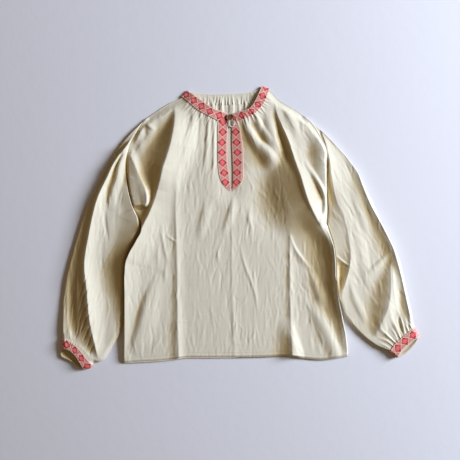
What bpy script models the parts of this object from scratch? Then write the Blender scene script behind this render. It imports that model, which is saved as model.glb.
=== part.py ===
"""Folk shirt laid flat: gathered body, full sleeves, woven ribbon round neck, slit and cuffs.

Tables and sizes are in millimetres. X runs to the viewer's right from the middle of the
front, Y runs from the hem towards the neck, Z is the height above the surface.
"""
import math

import bpy
import numpy as np

MM = 0.001
ORIGIN_X = 22.5         # middle of the whole outline, from the middle of the front
ORIGIN_Y = 291.35       # middle of the whole outline, from the hem

CLOTH = 1.3             # thickness of the cloth wall
RIBBON = 1.0            # thickness of the ribbon
RIBBON_WIDTH = 22.0
RIBBON_SHARES = (0, 0.25, 0.5, 0.75, 1)     # rows of points across the ribbon
NECK_STATIONS = 19      # points along each third of the neck's ribbon
NECK_INSET = 0.02       # share of the back's neck that the ribbon's folds take at each end
NECK_FOLD = 3.6         # how far the ribbon's fold stands out at the neck's corners
NECK_TURNS = (36, 72, 108, 144, 180)    # points round that fold, in degrees
GAP = 0.3               # clearance between pieces that touch
RIBBON_SEAT = 0.6       # height of the ribbon's underside over the cloth it is sewn to
SEAM_GAP = 0.9          # clearance in plan where a sleeve meets the body
REST = 2 * CLOTH + 1.5 * GAP    # upper face of the front where its edge lies on the back
RIBBON_LIFT = RIBBON + GAP      # how far the ribbon underneath lifts the cloth
SMOOTH_ANGLE = 50.0     # sharper edges than this stay sharp, in degrees

# edges of the body: x, y
HEM_LEFT = ((-237, -6), (-156, -2), (-100, 5), (-40, 5.5), (8, 6))
HEM_RIGHT = ((11, 6), (70, 7), (128, 9), (165, 3), (205, 1), (258, 9))
LEFT_EDGE = (
    (-237, -6), (-236, 60), (-235, 130), (-234, 190), (-228, 228), (-210, 262), (-198, 286),
    (-203, 312), (-216, 340), (-226, 382), (-230, 430), (-222, 470), (-206, 502), (-188, 528),
    (-161, 548), (-134, 565), (-106, 577), (-93, 590),
)
RIGHT_EDGE = (
    (258, 9), (256, 42), (247, 88), (236, 140), (231, 180), (230, 215), (226, 250), (217, 280),
    (212, 300), (214, 328), (212, 355), (210, 390), (208, 430), (209, 456), (203, 474),
    (194, 491), (181, 513), (164, 532), (139, 551), (108, 569), (84, 592), (66, 598),
)
LEFT_UNDERARM = 7       # row of LEFT_EDGE where the side seam meets the armhole
LEFT_SHOULDER = 13      # row where the armhole meets the shoulder
RIGHT_UNDERARM = 8
RIGHT_SHOULDER = 17

# middle of the front up to the slit, then the slit's own edges
SLIT_FOOT = 378.0
MIDDLE_LEFT = (
    (8, 6), (0, 150), (-1, 300), (-1, 376), (-1.6, 392), (-3.5, 405), (-6, 430), (-6.6, 460),
    (-6.6, 505), (-7.5, 541),
)
MIDDLE_RIGHT = (
    (11, 6), (3, 150), (2.2, 300), (2.4, 376), (2.6, 392), (3, 405), (2.5, 430), (1, 460),
    (0.5, 505), (2, 541),
)

# neck edge of the front and the back, and the other edge of the ribbon on each
NECK_LEFT = ((-93, 590), (-75, 577), (-59, 566), (-37, 551), (-20, 546), (-7.5, 541))
NECK_RIGHT = ((2, 541), (21, 546), (38, 551), (48, 561), (58, 580), (66, 598))
NECK_BACK = ((-93, 590), (-60, 585), (-20, 584), (20, 586), (48, 590), (66, 598))
BAND_LEFT = ((-106, 577), (-88, 561), (-72, 548), (-52, 537), (-40, 531), (-29, 525))
BAND_RIGHT = ((9, 520), (28, 528), (48, 537), (61, 549), (74, 566), (84, 592))
BAND_BACK = (
    (-106, 577), (-84, 566), (-60, 563), (-20, 562), (20, 564), (56, 568), (76, 577), (84, 592),
)

# ribbon beside the slit: outer edge x, y, inner edge x, y; the left one is mitred at its top
PLACKET_LEFT = (
    (-29, 524.4, -8, 540), (-29.3, 513, -7.6, 519), (-29.5, 500, -7.4, 501),
    (-29.5, 470, -7.4, 470), (-29, 433, -6.9, 433), (-27.5, 416, -5.2, 416),
    (-24.5, 400, -3.6, 400), (-18, 386, -2.0, 386), (-9.5, 377, -1.8, 377),
    (-2.6, 371.5, -1.6, 371.5),
)
PLACKET_RIGHT = (
    (10, 517, 1.6, 517), (19.5, 507, 1.4, 507), (26, 471, 1.8, 471), (27.3, 433, 3.3, 433),
    (27.8, 410, 3.8, 410), (26, 396, 3.4, 396), (20, 386, 3.2, 386), (11, 377.5, 2.9, 377.5),
    (3.4, 371.5, 2.4, 371.5),
)

# folds of the front: each is a crest line from its neck end to its hem end, with the columns
# x, y, height, width of its west flank, width of its east flank
FRONT_FOLDS = (
    ((-126, 556, 3, 10, 40), (-128, 500, 11, 32, 50), (-143, 440, 16, 44, 58),
     (-152, 405, 17, 34, 60), (-161, 378, 16, 18, 60), (-180, 320, 13, 18, 58),
     (-206, 266, 10, 14, 52), (-225, 222, 8, 12, 48), (-227, 130, 7, 12, 44),
     (-226, 6, 5, 12, 40)),
    ((-219, 478, 3, 10, 12), (-212, 440, 8, 16, 14), (-197, 408, 10, 20, 14),
     (-183, 382, 12, 22, 12), (-175, 358, 12, 22, 12), (-178, 338, 9, 14, 12),
     (-190, 324, 3, 10, 12)),
    ((-124, 390, 0, 16, 14), (-122, 290, 3, 16, 16), (-120, 150, 4.5, 16, 18),
     (-112, 4, 4, 18, 20)),
    ((-158, 262, 0, 14, 14), (-163, 200, 4, 18, 18), (-168, 140, 6, 20, 22),
     (-191, 82, 7, 22, 26), (-219, 24, 4, 18, 20)),
    ((-84, 548, 0, 14, 18), (-88, 500, 4, 16, 22), (-97, 440, 3, 16, 20), (-108, 380, 0, 14, 18)),
    ((-48, 352, 0, 18, 20), (-58, 322, 4.5, 22, 24), (-76, 262, 0, 20, 22)),
    ((2, 362, 0, 18, 20), (-7, 322, 5, 22, 26), (-28, 225, 0, 20, 22)),
    ((30, 528, 0, 12, 12), (41, 494, 4, 16, 14), (62, 440, 0, 14, 14)),
    ((46, 538, 0, 12, 14), (73, 498, 7, 24, 26), (92, 464, 8, 30, 24), (104, 438, 7, 32, 18),
     (118, 402, 0, 22, 16)),
    ((104, 442, 0, 30, 18), (126, 386, 7, 52, 22), (142, 330, 8, 60, 24), (146, 280, 0, 50, 22)),
    ((96, 540, 3, 12, 16), (117, 500, 12, 20, 30), (139, 440, 17, 26, 32), (158, 380, 19, 36, 30),
     (178, 325, 18, 36, 20), (200, 285, 15, 40, 16), (215, 250, 12, 38, 14),
     (221, 210, 10, 32, 12), (226, 150, 8, 26, 12), (237, 90, 6, 20, 12), (248, 14, 4, 16, 12)),
    ((168, 470, 0, 14, 14), (184, 430, 5, 17, 15), (195, 396, 7, 18, 14), (201, 362, 7, 18, 12),
     (200, 332, 6, 16, 12), (197, 306, 3, 12, 12)),
    ((130, 296, 0, 14, 14), (130, 230, 4, 16, 18), (131, 150, 5, 18, 20), (133, 80, 7, 22, 28),
     (137, 4, 9, 32, 40)),
    ((134, 264, 3, 14, 16), (152, 236, 4, 14, 18), (174, 204, 0, 14, 16)),
    ((178, 224, 0, 14, 14), (188, 180, 4, 18, 16), (199, 140, 6, 22, 18), (202, 88, 4, 16, 16),
     (208, 62, 0, 14, 14)),
    ((150, 132, 0, 14, 14), (169, 84, 5, 18, 20), (190, 50, 6, 22, 20), (207, 14, 5, 22, 18)),
    ((112, 562, 0, 12, 12), (134, 530, 4, 14, 14), (150, 490, 3, 16, 16), (158, 462, 0, 14, 14)),
)
BODY_PUFF = 4.5         # how far the front stands off the back where it has no fold
SIDE_RISE = 9.0         # distance over which it rises from its sides and its hem
SHOULDER_RISE = 20.0    # distance over which it rises from its shoulders
NECK_STAND = 4.2        # how far its neck edge stands off
NECK_REACH = 60.0       # distance over which the folds die out towards the neck
NECK_FLATNESS = 0.8     # share of each fold that the ribbon presses flat

# armhole seams, from the underarm up: y, height of the seam, distance over which it blends in
LEFT_SEAM = (
    (312, 3.6, 8), (340, 4.4, 9), (382, 5, 11), (430, 6, 13), (470, 8, 20), (502, 8, 18),
    (528, 6, 12),
)
RIGHT_SEAM = (
    (300, 3.6, 8), (355, 5, 8), (390, 6.5, 9), (430, 10, 24), (474, 12, 26), (513, 10, 22),
    (532, 6, 12),
)

GATHER_COUNT = 10       # gathers in each half of the front's neck
GATHER_HEIGHT = 2.6
GATHER_REACH = 42.0     # how far down they run
GATHER_RISE = 7.0       # distance over which they rise below the ribbon
GATHER_SHIFT = 0.3      # how far one stands off even spacing, in gathers
GATHER_UNEVEN = 0.25    # share of their height and length that varies
GATHER_WAVES = (7, 11, 17)      # turns of spacing, height and length along the neck, in radians
PLACKET_CLEAR = 30.0    # no gathers nearer the slit than this
PLACKET_FADE = 8.0
SIDE_FADE = 30.0        # distance over which they rise from the shoulders
BACK_GATHER_COUNT = 15
BACK_GATHER_HEIGHT = 1.5
BACK_GATHER_REACH = 34.0
BACK_BAND_REACH = 26.0  # distance from the back's neck edge that lies on the ribbon
BACK_SLOPE = 20.0       # distance over which the back comes down from the ribbon

# how the body's panels are divided
OUTER_COLUMNS = (0, 0.018, 0.045)       # shares across of the first columns at an outer edge
FRONT_HALF_GAPS = 20
FRONT_FINER = 2         # gaps at the front's neck for each one below
BACK_GAPS = 12
BACK_FINER = 5          # gaps at the back's neck for each one below
SIDE_ROWS = 10          # rows from the hem to the underarm
ARMHOLE_ROWS = 8        # rows from there to the shoulder
FRONT_LENGTH = 537.0    # length of the middle of the front, from hem to neck
BACK_LENGTH = 580.0
FRONT_NECK_ROWS = (96, 74, 58, 46, 37, 30, 24, 16, 8, 0)    # distances from the neck edge
BACK_NECK_ROWS = (60, 48, 38, 31, 26, 20, 10, 0)

# edges of the sleeves from the shoulder to the cuff, and on the inner side from where
# they leave the body
LEFT_OUTER = (
    (-222, 500), (-254, 460), (-278, 420), (-299, 380), (-318, 340), (-331, 300),
    (-342, 260), (-353, 220), (-364, 180), (-369, 140), (-370, 100), (-373, 60), (-372, 37),
)
LEFT_INNER = ((-237.5, 90), (-242, 62), (-258, 34), (-277, 6), (-293, -9))
RIGHT_OUTER = (
    (196, 506), (222, 480), (246, 455), (273, 420), (294, 380), (314, 340),
    (332, 300), (352, 260), (370, 220), (379, 180), (388, 140), (397, 100), (408, 70), (416, 57),
)
RIGHT_INNER = ((242, 126), (252, 98), (270, 74), (293, 51), (324, 27), (352, 7))

# fullness of a sleeve: share of its length, height of its upper face away from any fold
LEFT_FULLNESS = ((0, 7), (0.15, 8), (0.8, 9), (0.93, 12), (1, 13))
RIGHT_FULLNESS = ((0, 8), (0.15, 9), (0.8, 9), (0.93, 11), (1, 12))
# folds of the sleeves, with the columns of FRONT_FOLDS
LEFT_SLEEVE_FOLDS = (
    ((-228, 486, 0, 10, 14), (-262, 425, 8, 14, 28), (-281, 382, 12, 17, 42),
     (-298, 335, 16, 21, 52), (-308, 290, 18, 25, 60), (-314, 235, 19, 32, 64),
     (-320, 170, 19, 38, 66), (-322, 110, 16, 38, 56), (-326, 58, 6, 26, 40)),
    ((-226, 480, 0, 10, 10), (-240, 450, 4, 12, 12), (-250, 418, 6, 14, 14),
     (-246, 378, 6, 22, 14), (-244, 330, 4, 16, 14), (-250, 280, 0, 14, 12)),
    ((-352, 230, 0, 12, 10), (-359, 160, 4, 12, 10), (-362, 70, 2, 12, 10)),
    ((-284, 300, 0, 14, 14), (-286, 200, 3, 16, 16), (-282, 90, 3, 16, 16), (-288, 40, 0, 14, 14)),
)
RIGHT_SLEEVE_FOLDS = (
    ((206, 502, 0, 10, 8), (241, 460, 7, 14, 10), (268, 420, 8, 15, 10), (287, 380, 9, 16, 11),
     (305, 340, 9, 17, 12), (325, 300, 9, 17, 12), (346, 260, 9, 17, 12), (362, 220, 8, 16, 12),
     (372, 180, 7, 14, 11), (380, 140, 5, 12, 11), (390, 96, 0, 10, 10)),
    ((214, 474, 3, 8, 22), (218, 440, 6, 10, 26), (225, 400, 8, 12, 28), (231, 370, 9, 12, 28),
     (241, 320, 10, 20, 26), (256, 262, 11, 20, 22), (255, 215, 12, 16, 20),
     (251, 180, 11, 12, 20), (248, 145, 8, 12, 20), (252, 112, 2, 12, 16)),
    ((268, 304, 0, 14, 14), (280, 262, 4, 16, 16), (293, 205, 4, 16, 16), (302, 158, 0, 14, 14)),
    ((341, 206, 2, 14, 18), (347, 170, 7, 28, 20), (346, 130, 9, 42, 20), (348, 95, 6, 40, 18),
     (355, 58, 0, 20, 14)),
)
SLEEVE_EDGE = 4.4       # height of a sleeve's folded edge
SLEEVE_HEAD = 4.5       # how far its blunt tip stands out at the shoulder
SLEEVE_TUCK = 1.6       # how far its underside stops short of that edge
SLEEVE_RISE = 12.0      # distance over which its folds start from that edge
LEFT_OVERHANG = 11.0    # how far the back of the cuff shows past its front
RIGHT_OVERHANG = 9.0
SLEEVE_ACROSS = 26      # gaps between points across the top of a sleeve
SLEEVE_BELOW = ARMHOLE_ROWS     # gaps across its underside, in line with the back's rows
SLEEVE_FREE_ROWS = 4    # rows from where a sleeve leaves the body to its cuff's gathers
ROW_CLEAR = 6.0         # no row of the body's nearer than this to where the sleeve leaves it
CUFF_ROWS = (48, 38, 30, 22, 11, 0)     # distances from the sleeve's end
RIBBON_ROWS = 3         # the last of those rows, which the cuff's ribbon covers
CUFF_LIFT_REACH = 16.0  # distance over which the ribbon underneath lifts the sleeve
CUFF_GATHER_COUNT = 7
CUFF_GATHER_HEIGHT = 2.4
CUFF_GATHER_RISE = 6.0  # distance over which they rise above the ribbon
CUFF_GATHER_FADE = 20.0     # distance over which they fade at their other end
CUFF_GATHER_SIDES = 0.06    # share across the sleeve over which they rise from its edges

BUTTON_X = -3.4
BUTTON_Y = 532.5
BUTTON_RADIUS = 6.2
BUTTON_THICKNESS = 3.2
BUTTON_RIM = 1.4        # width of its raised rim
BUTTON_DISH = 0.9       # depth of the dish inside the rim
BUTTON_ROUNDING = 0.6
BUTTON_SIDES = 28
LOOP_CORD = 0.8         # radius of the loop's cord
LOOP_X = 0.6
LOOP_Y = 518.0
LOOP_HALF_WIDTH = 8.0
LOOP_HALF_LENGTH = 8.2
LOOP_OPENING = 55.0     # half of the angle that the loop leaves open towards the button
LOOP_POINTS = 25
LOOP_BEVEL = 2

CURVE_STEPS = 14        # points between two rows of an outline
CREST_STEP = 2          # a fold's crest takes every second one of them

# finishes: colour, roughness
CLOTH_FINISH = ((0.72, 0.68, 0.56), 0.9)
RIBBON_FINISH = ((0.62, 0.10, 0.11), 0.85)
BUTTON_FINISH = ((0.16, 0.09, 0.04), 0.5)
LOOP_FINISH = ((0.80, 0.76, 0.66), 0.9)


def curve_through(points):
    """Smooth curve through the rows of an outline."""
    p = np.array(points, dtype=float)
    p = np.vstack((2 * p[0] - p[1], p, 2 * p[-1] - p[-2]))
    t = np.linspace(0, 1, CURVE_STEPS, endpoint=False)[:, None]
    runs = []
    for a, b, c, d in zip(p[:-3], p[1:-2], p[2:-1], p[3:]):
        low = 2 * b + (c - a) * t + (2 * a - 5 * b + 4 * c - d) * t ** 2
        runs.append(0.5 * (low + (3 * b - a - 3 * c + d) * t ** 3))
    return np.vstack(runs + [p[-2:-1]])


def lengths(curve):
    """Length of a curve up to each of its points."""
    step = np.hypot(*np.diff(curve, axis=0).T)
    return np.concatenate(([0], np.cumsum(step)))


def at_length(curve, wanted):
    """Points of a curve at these lengths along it."""
    run = lengths(curve)
    return np.column_stack([np.interp(wanted, run, curve[:, k]) for k in range(2)])


def along(curve, shares):
    """Points of a curve at these shares of its length."""
    return at_length(curve, np.asarray(shares) * lengths(curve)[-1])


def moved_out(curve, distance):
    """Curve moved to its left by a distance, as seen along it."""
    run = np.gradient(curve, axis=0)
    run /= np.linalg.norm(run, axis=1, keepdims=True)
    return curve + distance * np.column_stack((-run[:, 1], run[:, 0]))


def smooth(value):
    """Rise from 0 to 1 with level ends."""
    v = np.clip(value, 0, 1)
    return v * v * (3 - 2 * v)


def nearest(xy, curve):
    """Signed distance to a curve, positive east of one that runs south, and place along it."""
    start, run = curve[:-1], np.diff(curve, axis=0)
    offset = xy[..., None, :] - start
    share = np.clip((offset * run).sum(-1) / (run * run).sum(-1), 0, 1)
    off = offset - share[..., None] * run
    distance = np.hypot(off[..., 0], off[..., 1])
    best = distance.argmin(-1)[..., None]
    side = np.take_along_axis(run[:, 0] * off[..., 1] - run[:, 1] * off[..., 0], best, -1)
    place = (best + np.take_along_axis(share, best, -1)) / len(start)
    signed = np.take_along_axis(distance, best, -1) * np.where(side < 0, -1, 1)
    return signed[..., 0], place[..., 0]


def distance_to(xy, tables):
    """Distance to the nearest of these outlines."""
    return np.min([np.abs(nearest(xy, curve_through(table))[0]) for table in tables], axis=0)


def fold_heights(xy, folds):
    """Sum of soft ridges, each along a curved crest line with its own width on either side."""
    total = np.zeros(xy.shape[:-1])
    for fold in folds:
        table = np.array(fold, dtype=float)
        distance, place = nearest(xy, curve_through(table[:, :2])[::CREST_STEP])
        rows = np.arange(len(table))
        height, west, east = (np.interp(place * rows[-1], rows, table[:, k]) for k in (2, 3, 4))
        share = np.abs(distance) / np.where(distance < 0, west, east)
        total += height * (1 - np.clip(share, 0, 1) ** 2) ** 2
    return total


def gather_height(place, distance, count, reach):
    """Gathers that leave a ribbon: uneven waves that fade at different lengths."""
    spacing, tall, long = (np.sin(turns * place) for turns in GATHER_WAVES)
    wave = 0.5 + 0.5 * np.cos(2 * np.pi * (count * place + GATHER_SHIFT * spacing))
    uneven = 1 - GATHER_UNEVEN + GATHER_UNEVEN * tall
    length = reach * (1 - GATHER_UNEVEN + GATHER_UNEVEN * long)
    past = distance - RIBBON_WIDTH
    return uneven * wave * smooth(past / GATHER_RISE) * smooth(1 - past / length)


def patch(bottom, top, left, right, s, t):
    """Surface stretched between four edges: columns at shares s, rows at shares t."""
    s, t = np.asarray(s)[None, :, None], np.asarray(t)[:, None, None]
    sides = (1 - s) * left[:, None] + s * right[:, None]
    ends = (1 - t) * bottom[None] + t * top[None]
    low = (1 - s) * bottom[0] + s * bottom[-1]
    high = (1 - s) * top[0] + s * top[-1]
    return sides + ends - (1 - t) * low - t * high


def with_height(xy, height):
    """Grid of points from their plan and their heights."""
    return np.concatenate((xy, height[..., None]), axis=-1)


def material(name, colour, roughness):
    """Plain material with the part's colour."""
    made = bpy.data.materials.new(name)
    made.use_nodes = True
    shader = made.node_tree.nodes["Principled BSDF"]
    shader.inputs["Base Color"].default_value = (*colour, 1)
    shader.inputs["Roughness"].default_value = roughness
    shader.inputs["Metallic"].default_value = 0
    made.diffuse_color = (*colour, 1)
    return made


def add_piece(name, verts, faces, look):
    """Object from points in millimetres and its faces, shaded smooth."""
    kept = sorted({v for face in faces for v in face})
    number = {old: new for new, old in enumerate(kept)}
    placed = (np.asarray(verts)[kept] - (ORIGIN_X, ORIGIN_Y, 0)) * MM
    mesh = bpy.data.meshes.new(name)
    mesh.from_pydata(placed.tolist(), [], [[number[v] for v in face] for face in faces])
    mesh.materials.append(look)
    mesh.shade_smooth()
    piece = bpy.data.objects.new(name, mesh)
    bpy.context.collection.objects.link(piece)
    return piece


def thicken(piece, thickness, side, gap=0):
    """Give a single layer its wall: side -1 below its faces, 1 above them, past a gap."""
    wall = piece.modifiers.new("wall", "SOLIDIFY")
    wall.thickness = thickness * MM
    wall.offset = side * (1 + 2 * gap / thickness)
    wall.use_even_offset = False
    piece.data.set_sharp_from_angle(angle=math.radians(SMOOTH_ANGLE))


def grid_faces(rows, columns, first=0, wrap=False):
    """Triangles of a grid of points numbered row by row."""
    faces = []
    for r in range(rows - 1):
        for c in range(columns if wrap else columns - 1):
            a = first + r * columns + c
            b = first + r * columns + (c + 1) % columns
            faces += [(a, b, b + columns), (a, b + columns, a + columns)]
    return faces


def stitched_faces(gaps, finer, first_lower, first_upper):
    """Triangles between a row and the next one, which has finer times as many gaps."""
    faces = []
    for c in range(gaps):
        a, b = first_lower + c, first_lower + c + 1
        row = [first_upper + finer * c + k for k in range(finer + 1)]
        turn = (finer + 1) // 2
        faces += [(a, row[k + 1], row[k]) for k in range(turn)]
        faces += [(a, b, row[turn])]
        faces += [(b, row[k + 1], row[k]) for k in range(turn, finer)]
    return faces


def closer_at(gaps, low_end, high_end):
    """Shares across a panel, with two narrow gaps at the ends that lie on an outer edge."""
    edge = np.array(OUTER_COLUMNS)
    shares = np.linspace(edge[-1] * low_end, 1 - edge[-1] * high_end,
                         gaps + 1 - 2 * low_end - 2 * high_end)
    if low_end:
        shares = np.concatenate((edge[:-1], shares))
    if high_end:
        shares = np.concatenate((shares, 1 - edge[-2::-1]))
    return shares


def divided(shares, finer):
    """The same shares with each gap divided evenly."""
    index = np.arange((len(shares) - 1) * finer + 1) / finer
    return np.interp(index, np.arange(len(shares)), shares)


def side_rows(table, underarm, shoulder, neck_shares):
    """Row ends on a side of the body, with one at the underarm and one at the shoulder."""
    curve = curve_through(table)
    run = lengths(curve)
    low, high = run[underarm * CURVE_STEPS], run[shoulder * CURVE_STEPS]
    up_neck = (neck_shares - neck_shares[0]) / (1 - neck_shares[0])
    return at_length(curve, np.concatenate((
        np.linspace(0, low, SIDE_ROWS + 1)[:-1], np.linspace(low, high, ARMHOLE_ROWS + 1)[:-1],
        high + up_neck * (run[-1] - high))))


def left_rows(neck_shares):
    return side_rows(LEFT_EDGE, LEFT_UNDERARM, LEFT_SHOULDER, neck_shares)


def right_rows(neck_shares):
    return side_rows(RIGHT_EDGE, RIGHT_UNDERARM, RIGHT_SHOULDER, neck_shares)


def neck_shares_of(neck_rows, length):
    return 1 - np.array(neck_rows) / length


def row_shares(neck_shares):
    """Shares of a panel's length for all its rows, from the hem to the neck."""
    low = np.linspace(0, neck_shares[0], SIDE_ROWS + ARMHOLE_ROWS + 1)[:-1]
    return np.concatenate((low, neck_shares))


def panel_grids(bottom, top, west, east, shares, finer, neck_shares):
    """Plan of a panel: rows from the hem to its gathers, then finer rows up to its neck."""
    t = row_shares(neck_shares)
    grids = []
    for s, rows in ((shares, slice(0, SIDE_ROWS + ARMHOLE_ROWS)),
                    (divided(shares, finer), slice(SIDE_ROWS + ARMHOLE_ROWS, None))):
        ends = [along(curve_through(table), s) for table in (bottom, top)]
        grids.append(patch(*ends, west[rows], east[rows], s, t[rows]))
    return grids


def panel_faces(low, high, finer, first):
    """Triangles of a panel's two grids and of the row that joins them."""
    rows, columns = low.shape[:2]
    faces = grid_faces(rows, columns, first)
    start = first + rows * columns
    faces += stitched_faces(columns - 1, finer, start - columns, start)
    return faces + grid_faces(*high.shape[:2], start)


def seam_at(y, left):
    """Height of an armhole seam, and the distance over which it blends into either side."""
    rows, height, blend = np.array(LEFT_SEAM if left else RIGHT_SEAM, dtype=float).T
    return np.interp(y, rows, height), np.interp(y, rows, blend)


def front_height(xy):
    """Upper face of the front: a puffed panel with its folds, resting on the back at its sides."""
    neck = smooth(1 - distance_to(xy, (NECK_LEFT, NECK_RIGHT)) / NECK_REACH)
    inside = BODY_PUFF + fold_heights(xy, FRONT_FOLDS) * (1 - NECK_FLATNESS * neck)
    sides = (HEM_LEFT, HEM_RIGHT, LEFT_EDGE[:LEFT_UNDERARM + 1],
             RIGHT_EDGE[:RIGHT_UNDERARM + 1])
    shoulders = (LEFT_EDGE[LEFT_SHOULDER:], RIGHT_EDGE[RIGHT_SHOULDER:])
    inside = inside * smooth(distance_to(xy, sides) / SIDE_RISE)
    inside = inside * smooth(distance_to(xy, shoulders) / SHOULDER_RISE)
    for left, armhole in ((True, LEFT_EDGE[LEFT_UNDERARM:LEFT_SHOULDER + 1]),
                          (False, RIGHT_EDGE[RIGHT_UNDERARM:RIGHT_SHOULDER + 1])):
        seam, blend = seam_at(xy[..., 1], left)
        share = smooth(distance_to(xy, (armhole,)) / blend)
        inside = inside * share + (seam - REST) * (1 - share)
    return REST + NECK_STAND * neck + inside


def front_gathers(grid, place):
    """Gathers below the front's neck ribbon, none under the ribbon beside the slit."""
    ribbon = distance_to(grid, (NECK_LEFT, NECK_RIGHT))
    side = distance_to(grid, (LEFT_EDGE, RIGHT_EDGE))
    wave = gather_height(place, ribbon, GATHER_COUNT, GATHER_REACH)
    clear = smooth((np.abs(grid[..., 0]) - PLACKET_CLEAR) / PLACKET_FADE)
    return GATHER_HEIGHT * wave * clear * smooth(side / SIDE_FADE)


def build_front(look):
    """Front panel: two halves joined below the foot of the slit."""
    verts, faces, middles = [], [], []
    at_neck = neck_shares_of(FRONT_NECK_ROWS, FRONT_LENGTH)
    shares = row_shares(at_neck)
    middle = [along(curve_through(table), shares) for table in (MIDDLE_LEFT, MIDDLE_RIGHT)]
    halves = (
        (HEM_LEFT, NECK_LEFT, left_rows(at_neck), middle[0], True),
        (HEM_RIGHT, NECK_RIGHT, middle[1], right_rows(at_neck), False),
    )
    for hem, neck, west, east, is_left in halves:
        across = closer_at(FRONT_HALF_GAPS, is_left, not is_left)
        low, high = panel_grids(hem, neck, west, east, across, FRONT_FINER, at_neck)
        first = sum(len(part) for part in verts)
        faces += panel_faces(low, high, FRONT_FINER, first)
        place = divided(across, FRONT_FINER)[None, :].repeat(len(high), 0)
        high_z = front_height(high) + front_gathers(high, 1 - place if is_left else place)
        verts += [with_height(low, front_height(low)).reshape(-1, 3),
                  with_height(high, high_z).reshape(-1, 3)]
        rows, columns = low.shape[:2]
        edge = columns - 1 if is_left else 0
        middles.append([first + r * columns + edge for r in range(rows)])
    verts = np.vstack(verts)
    below = [(a, b) for a, b in zip(*middles) if verts[a][1] < SLIT_FOOT]
    for (a, b), (c, d) in zip(below, below[1:]):
        faces += [(a, b, d), (a, d, c)]
    thicken(add_piece("front_panel", verts, faces, look), CLOTH, -1)


def build_back(look):
    """Back panel: flat on the surface, raised over the ribbon at its neck, with its gathers."""
    hem = HEM_LEFT[:-1] + HEM_RIGHT[1:]
    at_neck = neck_shares_of(BACK_NECK_ROWS, BACK_LENGTH)
    across = closer_at(BACK_GAPS, False, False)
    low, high = panel_grids(hem, NECK_BACK, left_rows(at_neck), right_rows(at_neck), across,
                            BACK_FINER, at_neck)
    place = divided(across, BACK_FINER)[None, :].repeat(len(high), 0)
    neck = distance_to(high, (NECK_BACK,))
    side = distance_to(high, (LEFT_EDGE, RIGHT_EDGE))
    lift = RIBBON_LIFT * smooth(1 - (neck - BACK_BAND_REACH) / BACK_SLOPE)
    wave = gather_height(place, neck, BACK_GATHER_COUNT, BACK_GATHER_REACH)
    high_z = CLOTH + lift + BACK_GATHER_HEIGHT * wave * smooth(side / SIDE_FADE)
    verts = np.vstack((with_height(low, np.full(low.shape[:2], CLOTH)).reshape(-1, 3),
                       with_height(high, high_z).reshape(-1, 3)))
    faces = panel_faces(low, high, BACK_FINER, 0)
    thicken(add_piece("back_panel", verts, faces, look), CLOTH, -1)


def sleeve_edges(body_rows, outer, inner, out):
    """Armhole and both long edges of a sleeve, its rows in line with the body's beside it."""
    beside = moved_out(body_rows, out * SEAM_GAP)
    armhole = beside[SIDE_ROWS:SIDE_ROWS + ARMHOLE_ROWS + 1][::-1]
    armhole[0] = moved_out(body_rows, out * SLEEVE_HEAD)[SIDE_ROWS + ARMHOLE_ROWS]
    side = beside[:SIDE_ROWS + 1][::-1]
    side = side[side[:, 1] > inner[0][1] + ROW_CLEAR]
    free = curve_through((tuple(side[-1]),) + inner)
    to_cuff = lengths(free)[-1] - CUFF_ROWS[0]
    free_rows = np.linspace(0, to_cuff, SLEEVE_FREE_ROWS + 1)[1:-1]
    cuff_rows = lengths(free)[-1] - np.array(CUFF_ROWS)
    inner_rows = np.vstack((side, at_length(free, np.concatenate((free_rows, cuff_rows)))))
    inner_run = lengths(inner_rows)
    shares = inner_run / inner_run[-len(CUFF_ROWS)]
    outer_edge = curve_through((tuple(armhole[0]),) + outer)
    whole = lengths(outer_edge)[-1]
    upper = shares[:-len(CUFF_ROWS)] * (whole - CUFF_ROWS[0])
    outer_rows = at_length(outer_edge, np.concatenate((upper, whole - np.array(CUFF_ROWS))))
    return armhole, outer_rows, inner_rows


def sleeve_plan(edges, across):
    """Plan of a sleeve from armhole to cuff, with its rows' shares of its length."""
    armhole, outer, inner = edges
    t = np.mean([lengths(edge) / lengths(edge)[-1] for edge in (outer, inner)], axis=0)
    cuff = outer[-1] + across[:, None] * (inner[-1] - outer[-1])
    return patch(along(armhole, across), cuff, outer, inner, across, t), t


def sleeve_height(xy, across, t, fullness, folds):
    """Upper face of a sleeve: a full tube with its folds, from the armhole seam to the cuff."""
    left = xy[0, 0, 0] < 0
    u = across[None, :]
    share, full = np.array(fullness).T
    full = np.interp(t, share, full)[:, None]
    width = np.linalg.norm(xy[:, -1] - xy[:, 0], axis=-1)[:, None]
    rise = np.sqrt(smooth(np.minimum(u, 1 - u) * width / SLEEVE_RISE))
    inside = SLEEVE_EDGE + rise * (full - SLEEVE_EDGE + fold_heights(xy, folds))
    seam, blend = seam_at(xy[0, :, 1], left)
    from_seam = np.linalg.norm(xy - xy[0], axis=-1)
    mixed = smooth(from_seam / blend)
    return inside * mixed + seam * (1 - mixed)


def cuff_gathers(across, to_end):
    """Gathers above the cuff's ribbon."""
    wave = 0.5 + 0.5 * np.cos(2 * np.pi * CUFF_GATHER_COUNT * across)
    fade = smooth((to_end - RIBBON_WIDTH) / CUFF_GATHER_RISE)
    fade = fade * smooth((CUFF_ROWS[0] + CUFF_GATHER_RISE - to_end) / CUFF_GATHER_FADE)
    edges = smooth(np.minimum(across, 1 - across) / CUFF_GATHER_SIDES)
    return CUFF_GATHER_HEIGHT * fade[:, None] * (wave * edges)[None, :]


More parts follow.
